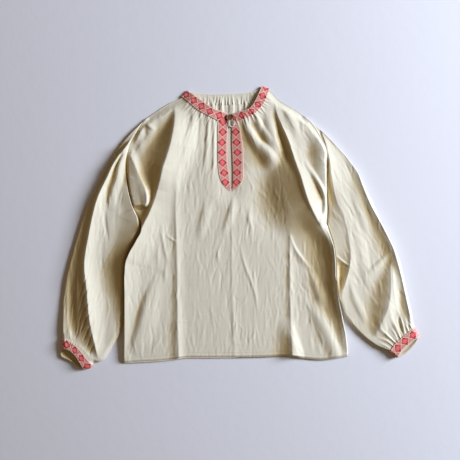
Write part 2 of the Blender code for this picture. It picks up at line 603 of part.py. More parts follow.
def sleeve_rings(edges, fullness, folds, overhang):
    """Closed rings of points round a sleeve, from armhole to cuff."""
    across = closer_at(SLEEVE_ACROSS, True, True)
    top, t = sleeve_plan(edges, across)
    rows = len(CUFF_ROWS)
    above = np.full(len(t) - rows, CUFF_ROWS[0] + CUFF_GATHER_RISE)
    to_end = np.concatenate((above, CUFF_ROWS))
    height = sleeve_height(top, across, t, fullness, folds) + cuff_gathers(across, to_end)

    under, t = sleeve_plan(edges, np.linspace(0, 1, SLEEVE_BELOW + 1))
    under = under[:, ::-1]
    inward = under[:, -1] - under[:, 0]
    inward /= np.linalg.norm(inward, axis=-1, keepdims=True)
    under[:, 0] += SLEEVE_TUCK * inward
    under[:, -1] -= SLEEVE_TUCK * inward
    end = edges[1][-1] - edges[1][-RIBBON_ROWS]
    end /= np.linalg.norm(end)
    under += overhang * smooth(1 - to_end / CUFF_ROWS[0])[:, None, None] * end
    lift = RIBBON_LIFT * smooth((CUFF_ROWS[0] - to_end) / CUFF_LIFT_REACH)
    lower = with_height(under, lift[:, None] * np.ones(under.shape[1]))
    return np.concatenate((with_height(top, height), lower), axis=1)


def build_sleeve(name, rings, look):
    """Sleeve: a flattened tube, open at the armhole and at the cuff."""
    faces = grid_faces(*rings.shape[:2], wrap=True)
    if rings[0, 0, 0] < 0:
        faces = [face[::-1] for face in faces]
    thicken(add_piece(name, rings.reshape(-1, 3), faces, look), CLOTH, -1)


def build_cuff_ribbon(name, rings, look):
    """Ribbon round a sleeve's end, made from the sleeve's own points moved out."""
    band = rings[-RIBBON_ROWS:]
    faces = grid_faces(*band.shape[:2], wrap=True)
    if rings[0, 0, 0] < 0:
        faces = [face[::-1] for face in faces]
    thicken(add_piece(name, band.reshape(-1, 3), faces, look), RIBBON, 1, GAP)


def strip(inner, outer):
    """Rows of points along a ribbon, from its two edges."""
    return np.stack([outer + share * (inner - outer) for share in RIBBON_SHARES])


def turned_under(inner, outer, away, high, low):
    """Ribbon's edges round a fold, from its upper to its lower layer."""
    rows = []
    for angle in np.radians(NECK_TURNS):
        drop = (high + low) / 2 + (high - low) / 2 * math.cos(angle)
        out = NECK_FOLD * math.sin(angle)
        rows.append([(*(edge + out * away), drop) for edge in (inner, outer)])
    rows = np.array(rows)
    return rows[:, 0], rows[:, 1]


def neck_ribbon_edges():
    """Both edges of the neck ribbon, from the slit's left side round under the back."""
    inner_runs, outer_runs = [], []
    shares = np.linspace(0, 1, NECK_STATIONS)
    for neck, band in ((NECK_LEFT[::-1], BAND_LEFT[::-1]), (NECK_RIGHT[::-1], BAND_RIGHT[::-1])):
        edges = [along(curve_through(table), shares) for table in (neck, band)]
        inner_runs.append(with_height(edges[0], front_height(edges[0]) + RIBBON_SEAT))
        outer_runs.append(with_height(edges[1], front_height(edges[1]) + RIBBON_SEAT))
    inset = np.linspace(NECK_INSET, 1 - NECK_INSET, NECK_STATIONS)
    back = [along(curve_through(table), inset) for table in (NECK_BACK, BAND_BACK)]
    flat = [with_height(edge, np.full(len(edge), RIBBON)) for edge in back]
    turns = []
    for run, sense in ((0, 1), (1, -1)):
        at = -1 if run == 0 else 0
        inner, outer = inner_runs[run][at], outer_runs[run][at]
        fold = inner[:2] - outer[:2]
        fold /= np.linalg.norm(fold)
        away = np.array((-fold[1], fold[0])) * (1 if run == 0 else -1)
        turn = turned_under(inner[:2], outer[:2], away, (inner[2] + outer[2]) / 2, RIBBON)
        turns.append([edge[::sense] for edge in turn])
    inner = np.vstack((inner_runs[0], turns[0][0], flat[0], turns[1][0], inner_runs[1]))
    outer = np.vstack((outer_runs[0], turns[0][1], flat[1], turns[1][1], outer_runs[1]))
    return inner, outer


def build_neck_ribbon(look):
    """Ribbon round the neck: along the front's edges, folded over and under the back."""
    points = strip(*neck_ribbon_edges())
    faces = [face[::-1] for face in grid_faces(*points.shape[:2])]
    thicken(add_piece("neck_ribbon", points.reshape(-1, 3), faces, look), RIBBON, 1)


def build_placket_ribbon(name, table, look):
    """Ribbon down one side of the slit, narrowing into the point at its foot."""
    table = np.array(table, dtype=float)
    edges = (curve_through(table[:, :2]), curve_through(table[:, 2:]))
    outer, inner = (edge[::CURVE_STEPS // 2] for edge in edges)
    plan = strip(inner, outer)
    points = with_height(plan, front_height(plan) + RIBBON_SEAT)
    faces = grid_faces(*points.shape[:2])
    if outer[0, 0] > 0:
        faces = [face[::-1] for face in faces]
    thicken(add_piece(name, points.reshape(-1, 3), faces, look), RIBBON, 1)


def ribbon_top(x, y):
    """Height of the ribbon's upper face at a point."""
    return float(front_height(np.array([[x, y]]))[0]) + RIBBON_SEAT + RIBBON


def build_button(look):
    """Round button with a dished face, seated over the ribbon at the top of the slit."""
    edge = BUTTON_RADIUS
    soft = BUTTON_ROUNDING
    dish = edge - BUTTON_RIM
    profile = (
        (edge - soft, 0), (edge, soft), (edge, BUTTON_THICKNESS - soft),
        (edge - soft, BUTTON_THICKNESS), (dish + soft, BUTTON_THICKNESS),
        (dish, BUTTON_THICKNESS - BUTTON_DISH),
    )
    seat = ribbon_top(BUTTON_X - BUTTON_RADIUS, BUTTON_Y) + GAP
    angles = np.linspace(0, 2 * np.pi, BUTTON_SIDES, endpoint=False)
    verts = [(BUTTON_X + r * math.cos(a), BUTTON_Y + r * math.sin(a), seat + z)
             for r, z in profile for a in angles]
    faces = grid_faces(len(profile), BUTTON_SIDES, wrap=True)
    last = (len(profile) - 1) * BUTTON_SIDES
    faces.append(tuple(range(BUTTON_SIDES))[::-1])
    faces.append(tuple(range(last, last + BUTTON_SIDES)))
    piece = add_piece("button", np.array(verts), faces, look)
    piece.data.set_sharp_from_angle(angle=math.radians(SMOOTH_ANGLE))


def build_loop(look):
    """Thread loop below the button, from one side of the slit round to the other."""
    height = ribbon_top(LOOP_X + LOOP_HALF_WIDTH, LOOP_Y) + GAP + LOOP_CORD
    cord = bpy.data.curves.new("button_loop", "CURVE")
    cord.dimensions = "3D"
    cord.bevel_depth = LOOP_CORD * MM
    cord.bevel_resolution = LOOP_BEVEL
    cord.use_fill_caps = True
    cord.materials.append(look)
    run = cord.splines.new("POLY")
    run.points.add(LOOP_POINTS - 1)
    turns = np.radians(np.linspace(90 + LOOP_OPENING, 450 - LOOP_OPENING, LOOP_POINTS))
    for point, angle in zip(run.points, turns):
        x = LOOP_X + LOOP_HALF_WIDTH * math.cos(angle) - ORIGIN_X
        y = LOOP_Y + LOOP_HALF_LENGTH * math.sin(angle) - ORIGIN_Y
        point.co = (x * MM, y * MM, height * MM, 1)
    piece = bpy.data.objects.new("button_loop", cord)
    bpy.context.collection.objects.link(piece)


def build_shirt():
    for old in list(bpy.data.objects):
        bpy.data.objects.remove(old)
    cloth = material("cloth", *CLOTH_FINISH)
    ribbon = material("ribbon", *RIBBON_FINISH)
    build_back(cloth)
    build_front(cloth)
    at_neck = neck_shares_of(FRONT_NECK_ROWS, FRONT_LENGTH)
    left = sleeve_rings(sleeve_edges(left_rows(at_neck), LEFT_OUTER, LEFT_INNER, 1),
                        LEFT_FULLNESS, LEFT_SLEEVE_FOLDS, LEFT_OVERHANG)
    right = sleeve_rings(sleeve_edges(right_rows(at_neck), RIGHT_OUTER, RIGHT_INNER, -1),
                         RIGHT_FULLNESS, RIGHT_SLEEVE_FOLDS, RIGHT_OVERHANG)
    build_sleeve("sleeve_left", left, cloth)
    build_sleeve("sleeve_right", right, cloth)
    build_cuff_ribbon("cuff_ribbon_left", left, ribbon)
    build_cuff_ribbon("cuff_ribbon_right", right, ribbon)
    build_neck_ribbon(ribbon)
    build_placket_ribbon("placket_ribbon_left", PLACKET_LEFT, ribbon)
    build_placket_ribbon("placket_ribbon_right", PLACKET_RIGHT, ribbon)
    build_button(material("button", *BUTTON_FINISH))
    build_loop(material("loop", *LOOP_FINISH))


build_shirt()
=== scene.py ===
import math

import bpy
import numpy as np
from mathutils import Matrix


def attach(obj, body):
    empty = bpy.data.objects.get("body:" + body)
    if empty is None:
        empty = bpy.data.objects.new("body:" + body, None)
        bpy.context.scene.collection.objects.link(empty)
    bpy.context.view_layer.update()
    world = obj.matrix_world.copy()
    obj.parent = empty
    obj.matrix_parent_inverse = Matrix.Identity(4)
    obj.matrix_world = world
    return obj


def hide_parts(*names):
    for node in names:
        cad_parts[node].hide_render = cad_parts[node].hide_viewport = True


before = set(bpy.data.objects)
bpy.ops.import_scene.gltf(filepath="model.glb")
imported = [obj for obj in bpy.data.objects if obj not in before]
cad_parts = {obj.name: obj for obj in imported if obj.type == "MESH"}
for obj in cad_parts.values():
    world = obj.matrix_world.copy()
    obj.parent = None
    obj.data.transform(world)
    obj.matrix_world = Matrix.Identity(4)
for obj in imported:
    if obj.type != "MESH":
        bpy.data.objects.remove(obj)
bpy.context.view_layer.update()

# The photograph's view: straight down on the shirt, its neck at the top.
# Tables here are in millimetres from the middle of the front's hem, as a tailor would chalk
# them on the cloth, and MIDDLE is where the model's own origin lies in them.
MM = 0.001
MIDDLE = np.array((22.5, 291.35, 0))
LENS = 50.0
VIEW_X, VIEW_Y, VIEW_HEIGHT = -2.2, 286.0, 1405.6

camera = bpy.data.objects.new("camera", bpy.data.cameras.new("camera"))
bpy.context.collection.objects.link(camera)
camera.data.lens = LENS
camera.location = (np.array((VIEW_X, VIEW_Y, VIEW_HEIGHT)) - MIDDLE) * MM
bpy.context.scene.camera = camera
bpy.context.scene.view_settings.view_transform = "Standard"

# One big soft light from the right and a little above, like a studio window, and a weak warm
# fill from the room all round.
WINDOW_PLACE = (3.10, 1.00, 1.62)
WINDOW_SIZE = 1.35
WINDOW_POWER = 236.0
WINDOW_COLOUR = (0.905, 0.98, 1.09)
ROOM_COLOUR = (1.35, 1.0, 0.60)
ROOM_STRENGTH = 0.122

window = bpy.data.objects.new("window", bpy.data.lights.new("window", "AREA"))
bpy.context.collection.objects.link(window)
window.data.shape = "SQUARE"
window.data.size = WINDOW_SIZE
window.data.energy = WINDOW_POWER
window.data.color = WINDOW_COLOUR
window.location = WINDOW_PLACE
window.rotation_mode = "QUATERNION"
window.rotation_quaternion = window.location.normalized().to_track_quat("Z", "Y")
room = bpy.data.worlds.new("room")
bpy.context.scene.world = room
room.use_nodes = True
background = room.node_tree.nodes["Background"]
background.inputs["Color"].default_value = (*ROOM_COLOUR, 1)
background.inputs["Strength"].default_value = ROOM_STRENGTH

# The surface under the shirt: a plain white sheet of cotton drawn flat. It shows a fine even
# weave and the faintest unevenness, and no edge of it is in the picture.
FLOOR_SIZE = 9.0
FLOOR_DROP = -0.0003
FLOOR_COLOUR = (0.715, 0.72, 0.79)
FLOOR_TINT = (0.685, 0.69, 0.765)
FLOOR_WEAVE = 1000 / 2.4
FLOOR_WEAVE_DEPTH = 0.04
FLOOR_HOLLOWS = 1000 / 22
FLOOR_HOLLOW_DEPTH = 0.22
FLOOR_PATCHES = (7, 5)
FABRIC_GLOSS = 0.12
FABRIC_SHEEN_SPREAD = 0.5


def value_of(tree, what, socket):
    """Put a number, a colour or another node's output into a socket."""
    if isinstance(what, bpy.types.NodeSocket):
        tree.links.new(what, socket)
    else:
        socket.default_value = (*what, 1) if isinstance(what, tuple) else what


def maths(tree, operation, a, b=0.0, c=0.0):
    """Sum of one kind on two or three values."""
    node = tree.nodes.new("ShaderNodeMath")
    node.operation = operation
    for what, socket in zip((a, b, c), node.inputs):
        value_of(tree, what, socket)
    return node.outputs[0]


def mixed(tree, share, a, b, blend="MIX"):
    """Two colours mixed by a share."""
    node = tree.nodes.new("ShaderNodeMix")
    node.data_type = "RGBA"
    node.blend_type = blend
    for what, k in ((share, 0), (a, 6), (b, 7)):
        value_of(tree, what, node.inputs[k])
    return node.outputs[2]


def noise(tree, place, across, along, detail=2.0):
    """Noise between 0 and 1, with this many spots a metre across and along the cloth."""
    scaled = tree.nodes.new("ShaderNodeVectorMath")
    scaled.operation = "MULTIPLY"
    tree.links.new(place, scaled.inputs[0])
    scaled.inputs[1].default_value = (across, along, across)
    node = tree.nodes.new("ShaderNodeTexNoise")
    node.inputs["Scale"].default_value = 1.0
    node.inputs["Detail"].default_value = detail
    tree.links.new(scaled.outputs[0], node.inputs["Vector"])
    return node.outputs["Fac"]


def cloth_shader(name, roughness, sheen):
    """Matt fabric material, with its nodes and its shader."""
    made = bpy.data.materials.new(name)
    made.use_nodes = True
    shader = made.node_tree.nodes["Principled BSDF"]
    shader.inputs["Roughness"].default_value = roughness
    shader.inputs["Specular IOR Level"].default_value = FABRIC_GLOSS
    shader.inputs["Sheen Weight"].default_value = sheen
    shader.inputs["Sheen Roughness"].default_value = FABRIC_SHEEN_SPREAD
    return made, made.node_tree, shader


def relief(tree, height, shader):
    """Bump of a height in metres."""
    bump = tree.nodes.new("ShaderNodeBump")
    bump.inputs["Strength"].default_value = 1.0
    bump.inputs["Distance"].default_value = 1.0
    tree.links.new(height, bump.inputs["Height"])
    tree.links.new(bump.outputs[0], shader.inputs["Normal"])


bpy.ops.object.select_all(action="DESELECT")
bpy.ops.mesh.primitive_plane_add(size=FLOOR_SIZE, location=(0, 0, FLOOR_DROP))
floor = bpy.context.object
floor.name = "floor"
sheet, tree, shader = cloth_shader("white sheet", 0.95, 0.0)
place = tree.nodes.new("ShaderNodeTexCoord").outputs["Object"]
weave = noise(tree, place, FLOOR_WEAVE, FLOOR_WEAVE)
hollows = noise(tree, place, FLOOR_HOLLOWS, FLOOR_HOLLOWS, 3.0)
shade = maths(tree, "ADD", maths(tree, "MULTIPLY", weave, 0.5),
              maths(tree, "MULTIPLY", noise(tree, place, *FLOOR_PATCHES), 0.5))
value_of(tree, mixed(tree, shade, FLOOR_COLOUR, FLOOR_TINT), shader.inputs["Base Color"])
relief(tree, maths(tree, "ADD", maths(tree, "MULTIPLY", weave, FLOOR_WEAVE_DEPTH * MM),
                   maths(tree, "MULTIPLY", hollows, FLOOR_HOLLOW_DEPTH * MM)), shader)
floor.data.materials.append(sheet)

# Back of the shirt: one width of unbleached cotton, flat on the surface, gathered at its neck
# into the ribbon. It shows inside the neck and the slit, and from below.
HEM_LEFT = ((-237, -6), (-156, -2), (-100, 5), (-40, 5.5), (8, 6))
HEM_RIGHT = ((11, 6), (70, 7), (128, 9), (165, 3), (205, 1), (258, 9))
LEFT_EDGE = (
    (-237, -6), (-236, 60), (-235, 130), (-234, 190), (-228, 228), (-210, 262), (-198, 286),
    (-203, 312), (-216, 340), (-226, 382), (-230, 430), (-222, 470), (-206, 502), (-188, 528),
    (-161, 548), (-134, 565), (-106, 577), (-93, 590),
)
RIGHT_EDGE = (
    (258, 9), (256, 42), (247, 88), (236, 140), (231, 180), (230, 215), (226, 250), (217, 280),
    (212, 300), (214, 328), (212, 355), (210, 390), (208, 430), (209, 456), (203, 474),
    (194, 491), (181, 513), (164, 532), (139, 551), (108, 569), (84, 592), (66, 598),
)
LEFT_UNDERARM, LEFT_SHOULDER = 7, 13
RIGHT_UNDERARM, RIGHT_SHOULDER = 8, 17
NECK_BACK = ((-93, 590), (-60, 585), (-20, 584), (20, 586), (48, 590), (66, 598))
CURVE_STEPS = 14
RIBBON_WIDTH = 22.0
RIBBON_LIFT = 1.3
BACK_WALL = 0.9
BACK_COLUMNS = 240
BACK_ROWS = 100
BACK_TOP = 0.86
BACK_BAND_REACH = 26.0
BACK_BAND_SEARCH = 90
BACK_SLOPE = 20.0
BACK_EDGE_REACH = 14.0
BACK_EDGE_SEARCH = 30
BEHIND_SLIT = ((-2, 520), (-3, 450), (0, 384))
BEHIND_SLIT_LIFT = 1.1
BEHIND_SLIT_REACH = 16.0
BEHIND_SLIT_SEARCH = 40
PUCKER_DEPTH = 0.2
CLOTH_PALE = (0.712, 0.670, 0.568)
CLOTH_DULL = (0.642, 0.597, 0.486)
# Painted shade: the next colour is a warm brown. The cloth's colour is multiplied towards it where
# the folds on the light's side would shade the cloth. The five settings after it say how far
# towards the light, and how steeply, those folds are looked for.
CLOTH_PAINTED_SHADE = (0.86, 0.72, 0.46)
SHADOW_REACH = (9, 14, 20, 27, 35, 44, 56)
SHADOW_SLOPE = (0.11, 0.46)
LIGHT_SIDE = (0.95, 0.31)
SHADOW_CELL = 2.5
SHADOW_MARGIN = 70
STREAKS = (170, 16)
SLUBS = (640, 26)
WORN = (26, 9)
WEAVE_PITCH = 0.9
STREAK_DEPTH = 0.21
SLUB_DEPTH = 0.035
WEAVE_DEPTH = 0.03
SLUB_TINT, PICK_TINT, STREAK_TINT, WORN_TINT = 0.45, 0.2, 0.3, 0.4
TINT_CONTRAST, TINT_SHIFT = 2.2, -1.0
BACK_FOLDS = (
    ((-23, 572, 1, 4, 7), (-22, 554, 2.4, 4, 9), (-24, 530, 1.4, 4, 9), (-28, 500, 0, 5, 9)),
    ((3, 574, 0.6, 10, 4), (4, 554, 2.6, 13, 5), (3, 532, 1.6, 12, 5), (2, 500, 0, 10, 5)),
    ((17, 572, 0.4, 4, 4), (18, 556, 1.6, 5, 4), (18, 536, 1, 5, 5)),
    ((-45, 573, 0.5, 5, 5), (-39, 558, 1.8, 6, 5), (-33, 536, 1.2, 6, 6)),
    ((36, 576, 0.4, 4, 4), (33, 560, 1.4, 6, 4), (30, 544, 1, 6, 4)),
)
CREASE_BEND = 0.12
GATHER_SHIFT = 0.3
GATHER_SWAY = 5
GATHER_SHAPE = ((-0.04, 1, 0.9), (0.2, 1, 1), (0.6, 0.55, 1.3), (1, 0, 1.6))
BACK_GATHERS = ((-96, 584), (-84, 568), (-60, 563), (-20, 562), (20, 564), (56, 568), (70, 580))


def curve_through(points):
    """Smooth curve through the rows of a table."""
    p = np.array(points, dtype=float)
    p = np.vstack((2 * p[0] - p[1], p, 2 * p[-1] - p[-2]))
    t = np.linspace(0, 1, CURVE_STEPS, endpoint=False)[:, None]
    runs = []
    for a, b, c, d in zip(p[:-3], p[1:-2], p[2:-1], p[3:]):
        low = 2 * b + (c - a) * t + (2 * a - 5 * b + 4 * c - d) * t ** 2
        runs.append(0.5 * (low + (3 * b - a - 3 * c + d) * t ** 3))
    return np.vstack(runs + [p[-2:-1]])


def lengths(curve):
    """Length of a curve up to each of its points."""
    return np.concatenate(([0], np.cumsum(np.hypot(*np.diff(curve, axis=0).T))))


def at_length(curve, wanted):
    """Points of a curve at these lengths along it."""
    run = lengths(curve)
    return np.column_stack([np.interp(wanted, run, curve[:, k]) for k in range(2)])


def along(curve, shares):
    """Points of a curve at these shares of its length."""
    return at_length(curve, np.asarray(shares) * lengths(curve)[-1])


def smooth(value):
    """Rise from 0 to 1 with level ends."""
    v = np.clip(value, 0, 1)
    return v * v * (3 - 2 * v)


def nearest(xy, curve):
    """Signed distance to a curve, positive east of one that runs south, and place along it."""
    start, step = curve[:-1], np.diff(curve, axis=0)
    offset = xy[..., None, :] - start
    share = np.clip((offset * step).sum(-1) / (step * step).sum(-1), 0, 1)
    off = offset - share[..., None] * step
    distance = np.hypot(off[..., 0], off[..., 1])
    best = distance.argmin(-1)[..., None]
    side = np.take_along_axis(step[:, 0] * off[..., 1] - step[:, 1] * off[..., 0], best, -1)
    place = (best + np.take_along_axis(share, best, -1)) / len(start)
    signed = np.take_along_axis(distance, best, -1) * np.where(side < 0, -1, 1)
    return signed[..., 0], place[..., 0]


def distance_to(xy, tables, reach):
    """Distance to the nearest of these outlines in whole millimetres, as far as reach."""
    least = np.full(xy.shape[:-1], reach, dtype=int)
    for table in tables:
        curve = curve_through(table)[::2]
        close = ((xy > curve.min(0) - reach) & (xy < curve.max(0) + reach)).all(-1)
        if close.any():
            least[close] = np.minimum(least[close], np.abs(nearest(xy[close], curve)[0]))
    return least


def patch(bottom, top, left, right, s, t):
    """Surface stretched between four edges: columns at shares s, rows at shares t."""
    s, t = np.asarray(s)[None, :, None], np.asarray(t)[:, None, None]
    sides = (1 - s) * left[:, None] + s * right[:, None]
    ends = (1 - t) * bottom[None] + t * top[None]
    low = (1 - s) * bottom[0] + s * bottom[-1]
    high = (1 - s) * top[0] + s * top[-1]
    return sides + ends - (1 - t) * low - t * high


def with_height(xy, height):
    """Points from their plan and their heights."""
    return np.concatenate((xy, height[..., None]), axis=-1)


def grid_faces(rows, columns, first=0, wrap=False):
    """Four-sided faces of a grid of points numbered row by row."""
    faces = []
    for r in range(rows - 1):
        for c in range(columns if wrap else columns - 1):
            a, b = first + r * columns + c, first + r * columns + (c + 1) % columns
            faces.append((a, b, b + columns, a + columns))
    return faces


def painted_shade_of(points, *others):
    """Painted shade: how far each point lies in the shadow of the folds on its right, towards the
    light, from 0 to 1.
    """
    everything = np.vstack([np.asarray(part).reshape(-1, 3) for part in (points, *others)])
    start = everything[:, :2].min(0) - SHADOW_MARGIN
    cells = ((everything[:, :2] - start) / SHADOW_CELL).astype(int)
    tops = np.zeros(cells.max(0) + int(2 * SHADOW_MARGIN / SHADOW_CELL))
    np.maximum.at(tops, tuple(cells.T), everything[:, 2])
    points = np.asarray(points).reshape(-1, 3)
    in_shadow = np.zeros(len(points))
    low, high = SHADOW_SLOPE
    for reach in SHADOW_REACH:
        spot = ((points[:, :2] + reach * np.array(LIGHT_SIDE) - start) / SHADOW_CELL).astype(int)
        steep = (tops[tuple(spot.T)] - points[:, 2]) / reach
        in_shadow = np.maximum(in_shadow, smooth((steep - low) / (high - low)))
    return in_shadow


def add_piece(name, verts, faces, look, uv=None, painted_shade=None):
    """Piece made of points in millimetres, with its cloth's own place in metres as its UV map."""
    mesh = bpy.data.meshes.new(name)
    mesh.from_pydata(((np.asarray(verts) - MIDDLE) * MM).tolist(), [], faces)
    if uv is not None:
        corner = np.empty(len(mesh.loops), dtype=np.int32)
        mesh.loops.foreach_get("vertex_index", corner)
        layer = mesh.uv_layers.new(name="weave")
        layer.data.foreach_set("uv", (np.asarray(uv) * MM)[corner].astype(np.float32).ravel())
    # Painted shade: each point's share of shadow from the folds towards the light, which darkens
    # the cloth's colour.
    if painted_shade is not None:
        layer = mesh.attributes.new("painted_shade", "FLOAT", "POINT")
        layer.data.foreach_set("value", np.asarray(painted_shade, dtype=np.float32))
    mesh.materials.append(look)
    mesh.shade_smooth()
    piece = bpy.data.objects.new(name, mesh)
    bpy.context.collection.objects.link(piece)
    return piece


def walled(piece, thickness):
    """Give a sheet its wall, below the face it was made as."""
    wall = piece.modifiers.new("wall", "SOLIDIFY")
    wall.thickness = thickness * MM
    wall.offset = -1


def ridge(distance, west, east):
    """Soft ridge across its crest line."""
    share = np.abs(distance) / np.where(distance < 0, west, east)
    return (1 - np.clip(share, 0, 1) ** 2) ** 2


def crease(distance, west, east):
    """Sharp ridge, pressed to a line at its crest."""
    share = np.abs(distance) / np.where(distance < 0, west, east)
    return (1 - np.clip(share, 0, 1)) ** 2


def fold_heights(xy, folds, across=ridge):
    """Sum of folds, each along a curved crest line with its own width on either side."""
    total = np.zeros(xy.shape[:-1])
    for fold in folds:
        table = np.array(fold, dtype=float)
        line = curve_through(table[:, :2])[::2]
        reach = table[:, 3:5].max()
        close = ((xy > line.min(0) - reach) & (xy < line.max(0) + reach)).all(-1)
        if close.any():
            distance, place = nearest(xy[close], line)
            rows = np.arange(len(table))
            height, west, east = (np.interp(place * rows[-1], rows, table[:, k])
                                  for k in (2, 3, 4))
            total[close] += height * across(distance, west, east)
    return total


def strewn(area, count, length, height, width, lean, sway, seed):
    """Short creases strewn over an area, up and down, as worn cloth has them."""
    draw = np.random.default_rng(seed)
    (west, south), (east, north) = area
    folds = []
    for _ in range(count):
        centre = np.array((draw.uniform(west, east), draw.uniform(south, north)))
        angle = math.radians(draw.normal(lean, sway))
        step = draw.uniform(*length) / 2 * np.array((math.sin(angle), math.cos(angle)))
        bend = draw.normal(0, CREASE_BEND) * np.array((step[1], -step[0]))
        rise, half = draw.uniform(*height) * draw.choice((-1, 1)), draw.uniform(*width)
        folds.append(((*(centre + step), 0, half, half), (*(centre + bend), rise, half, half),
                      (*(centre - step), 0, half, half)))
    return folds


def gathered(table, out, count, length, height, width, fan, seed, span=(0.02, 0.98)):
    """Uneven gathers that leave a seam on its left and fan out away from it."""
    draw = np.random.default_rng(seed)
    curve = curve_through(table)
    shifts = draw.uniform(-GATHER_SHIFT, GATHER_SHIFT, count) * (span[1] - span[0]) / count
    places = np.linspace(*span, count) + shifts
    starts, ahead = along(curve, places), along(curve, places + 0.01)
    folds = []
    for start, step, place in zip(starts, ahead - starts, places):
        step = step / np.hypot(*step)
        angle = math.radians(draw.normal(0, GATHER_SWAY) + (place - 0.5) * fan)
        away = out * np.array((-step[1], step[0]))
        away = np.array((away[0] * math.cos(angle) - away[1] * math.sin(angle),
                         away[0] * math.sin(angle) + away[1] * math.cos(angle)))
        run, rise, half = (draw.uniform(*limits) for limits in (length, height, width))
        folds.append(tuple((*(start + share * run * away), tall * rise, wide * half, wide * half)
                           for share, tall, wide in GATHER_SHAPE))
    return folds


def cloth_material():
    """Unbleached cotton: uneven threads, stretched creases too small to model, worn colour."""
    made, tree, shader = cloth_shader("unbleached cotton", 0.9, 0.12)
    node = tree.nodes.new("ShaderNodeUVMap")
    node.uv_map = "weave"
    place = node.outputs[0]
    streaks = noise(tree, place, *STREAKS, 3.0)
    slubs = noise(tree, place, *SLUBS, 1.0)
    picks = noise(tree, place, *SLUBS[::-1], 1.0)
    worn = noise(tree, place, *WORN)
    apart = tree.nodes.new("ShaderNodeSeparateXYZ")
    tree.links.new(place, apart.inputs[0])
    turn = 2 * math.pi / (WEAVE_PITCH * MM)
    over = [maths(tree, "SINE", maths(tree, "MULTIPLY", out, turn)) for out in apart.outputs[:2]]
    weave = maths(tree, "MULTIPLY", over[0], over[1])
    rise = maths(tree, "MULTIPLY", streaks, STREAK_DEPTH * MM)
    rise = maths(tree, "MULTIPLY_ADD", maths(tree, "ADD", slubs, picks), SLUB_DEPTH * MM, rise)
    relief(tree, maths(tree, "MULTIPLY_ADD", weave, WEAVE_DEPTH * MM, rise), shader)
    tint = maths(tree, "MULTIPLY", picks, PICK_TINT)
    for what, share in ((slubs, SLUB_TINT), (streaks, STREAK_TINT), (worn, WORN_TINT)):
        tint = maths(tree, "MULTIPLY_ADD", what, share, tint)
    tint = maths(tree, "MULTIPLY_ADD", tint, TINT_CONTRAST, TINT_SHIFT)
    colour = mixed(tree, tint, CLOTH_PALE, CLOTH_DULL)
    # Painted shade: the colour is multiplied towards a warm brown by each point's share of shadow
    # from the folds towards the light.
    painted_shade = tree.nodes.new("ShaderNodeAttribute")
    painted_shade.attribute_name = "painted_shade"
    shaded_colour = mixed(tree, painted_shade.outputs["Fac"], (1.0, 1.0, 1.0), CLOTH_PAINTED_SHADE)
    tree.links.new(mixed(tree, 1.0, colour, shaded_colour, "MULTIPLY"), shader.inputs["Base Color"])
    return made


cloth = cloth_material()

s = np.linspace(0, 1, BACK_COLUMNS + 1)
t = np.concatenate((np.linspace(0, BACK_TOP, BACK_ROWS), np.linspace(BACK_TOP, 1, BACK_ROWS)[1:]))
hem = along(curve_through(HEM_LEFT[:-1] + HEM_RIGHT[1:]), s)
neck = along(curve_through(NECK_BACK), s)
plan = patch(hem, neck, along(curve_through(LEFT_EDGE), t), along(curve_through(RIGHT_EDGE), t),
             s, t)
near_neck = distance_to(plan, (NECK_BACK,), BACK_BAND_SEARCH)
lift = RIBBON_LIFT * smooth(1 - (near_neck - BACK_BAND_REACH) / BACK_SLOPE)
from_slit = distance_to(plan, (BEHIND_SLIT,), BEHIND_SLIT_SEARCH)
lift += BEHIND_SLIT_LIFT * smooth(1 - from_slit / BEHIND_SLIT_REACH)
puckers = (gathered(BACK_GATHERS, 1, 26, (15, 25), (0.3, 1.2), (1.6, 3.4), 8, 51)
           + gathered(BACK_GATHERS, -1, 22, (14, 60), (0.4, 1.2), (2.2, 4.5), -30, 53)
           + gathered(BACK_GATHERS, 1, 22, (18, 26), (0.2, 0.9), (1.0, 2.0), 8, 55)
           + list(BACK_FOLDS))
near_edge = smooth(distance_to(plan, (LEFT_EDGE, RIGHT_EDGE), BACK_EDGE_SEARCH) / BACK_EDGE_REACH)
height = BACK_WALL + lift + near_edge * np.maximum(fold_heights(plan, puckers), -PUCKER_DEPTH)
back = add_piece("back", with_height(plan, height).reshape(-1, 3),
                 grid_faces(*plan.shape[:2]), cloth, plan.reshape(-1, 2))
walled(back, BACK_WALL)
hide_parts("back_panel")
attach(back, "root")

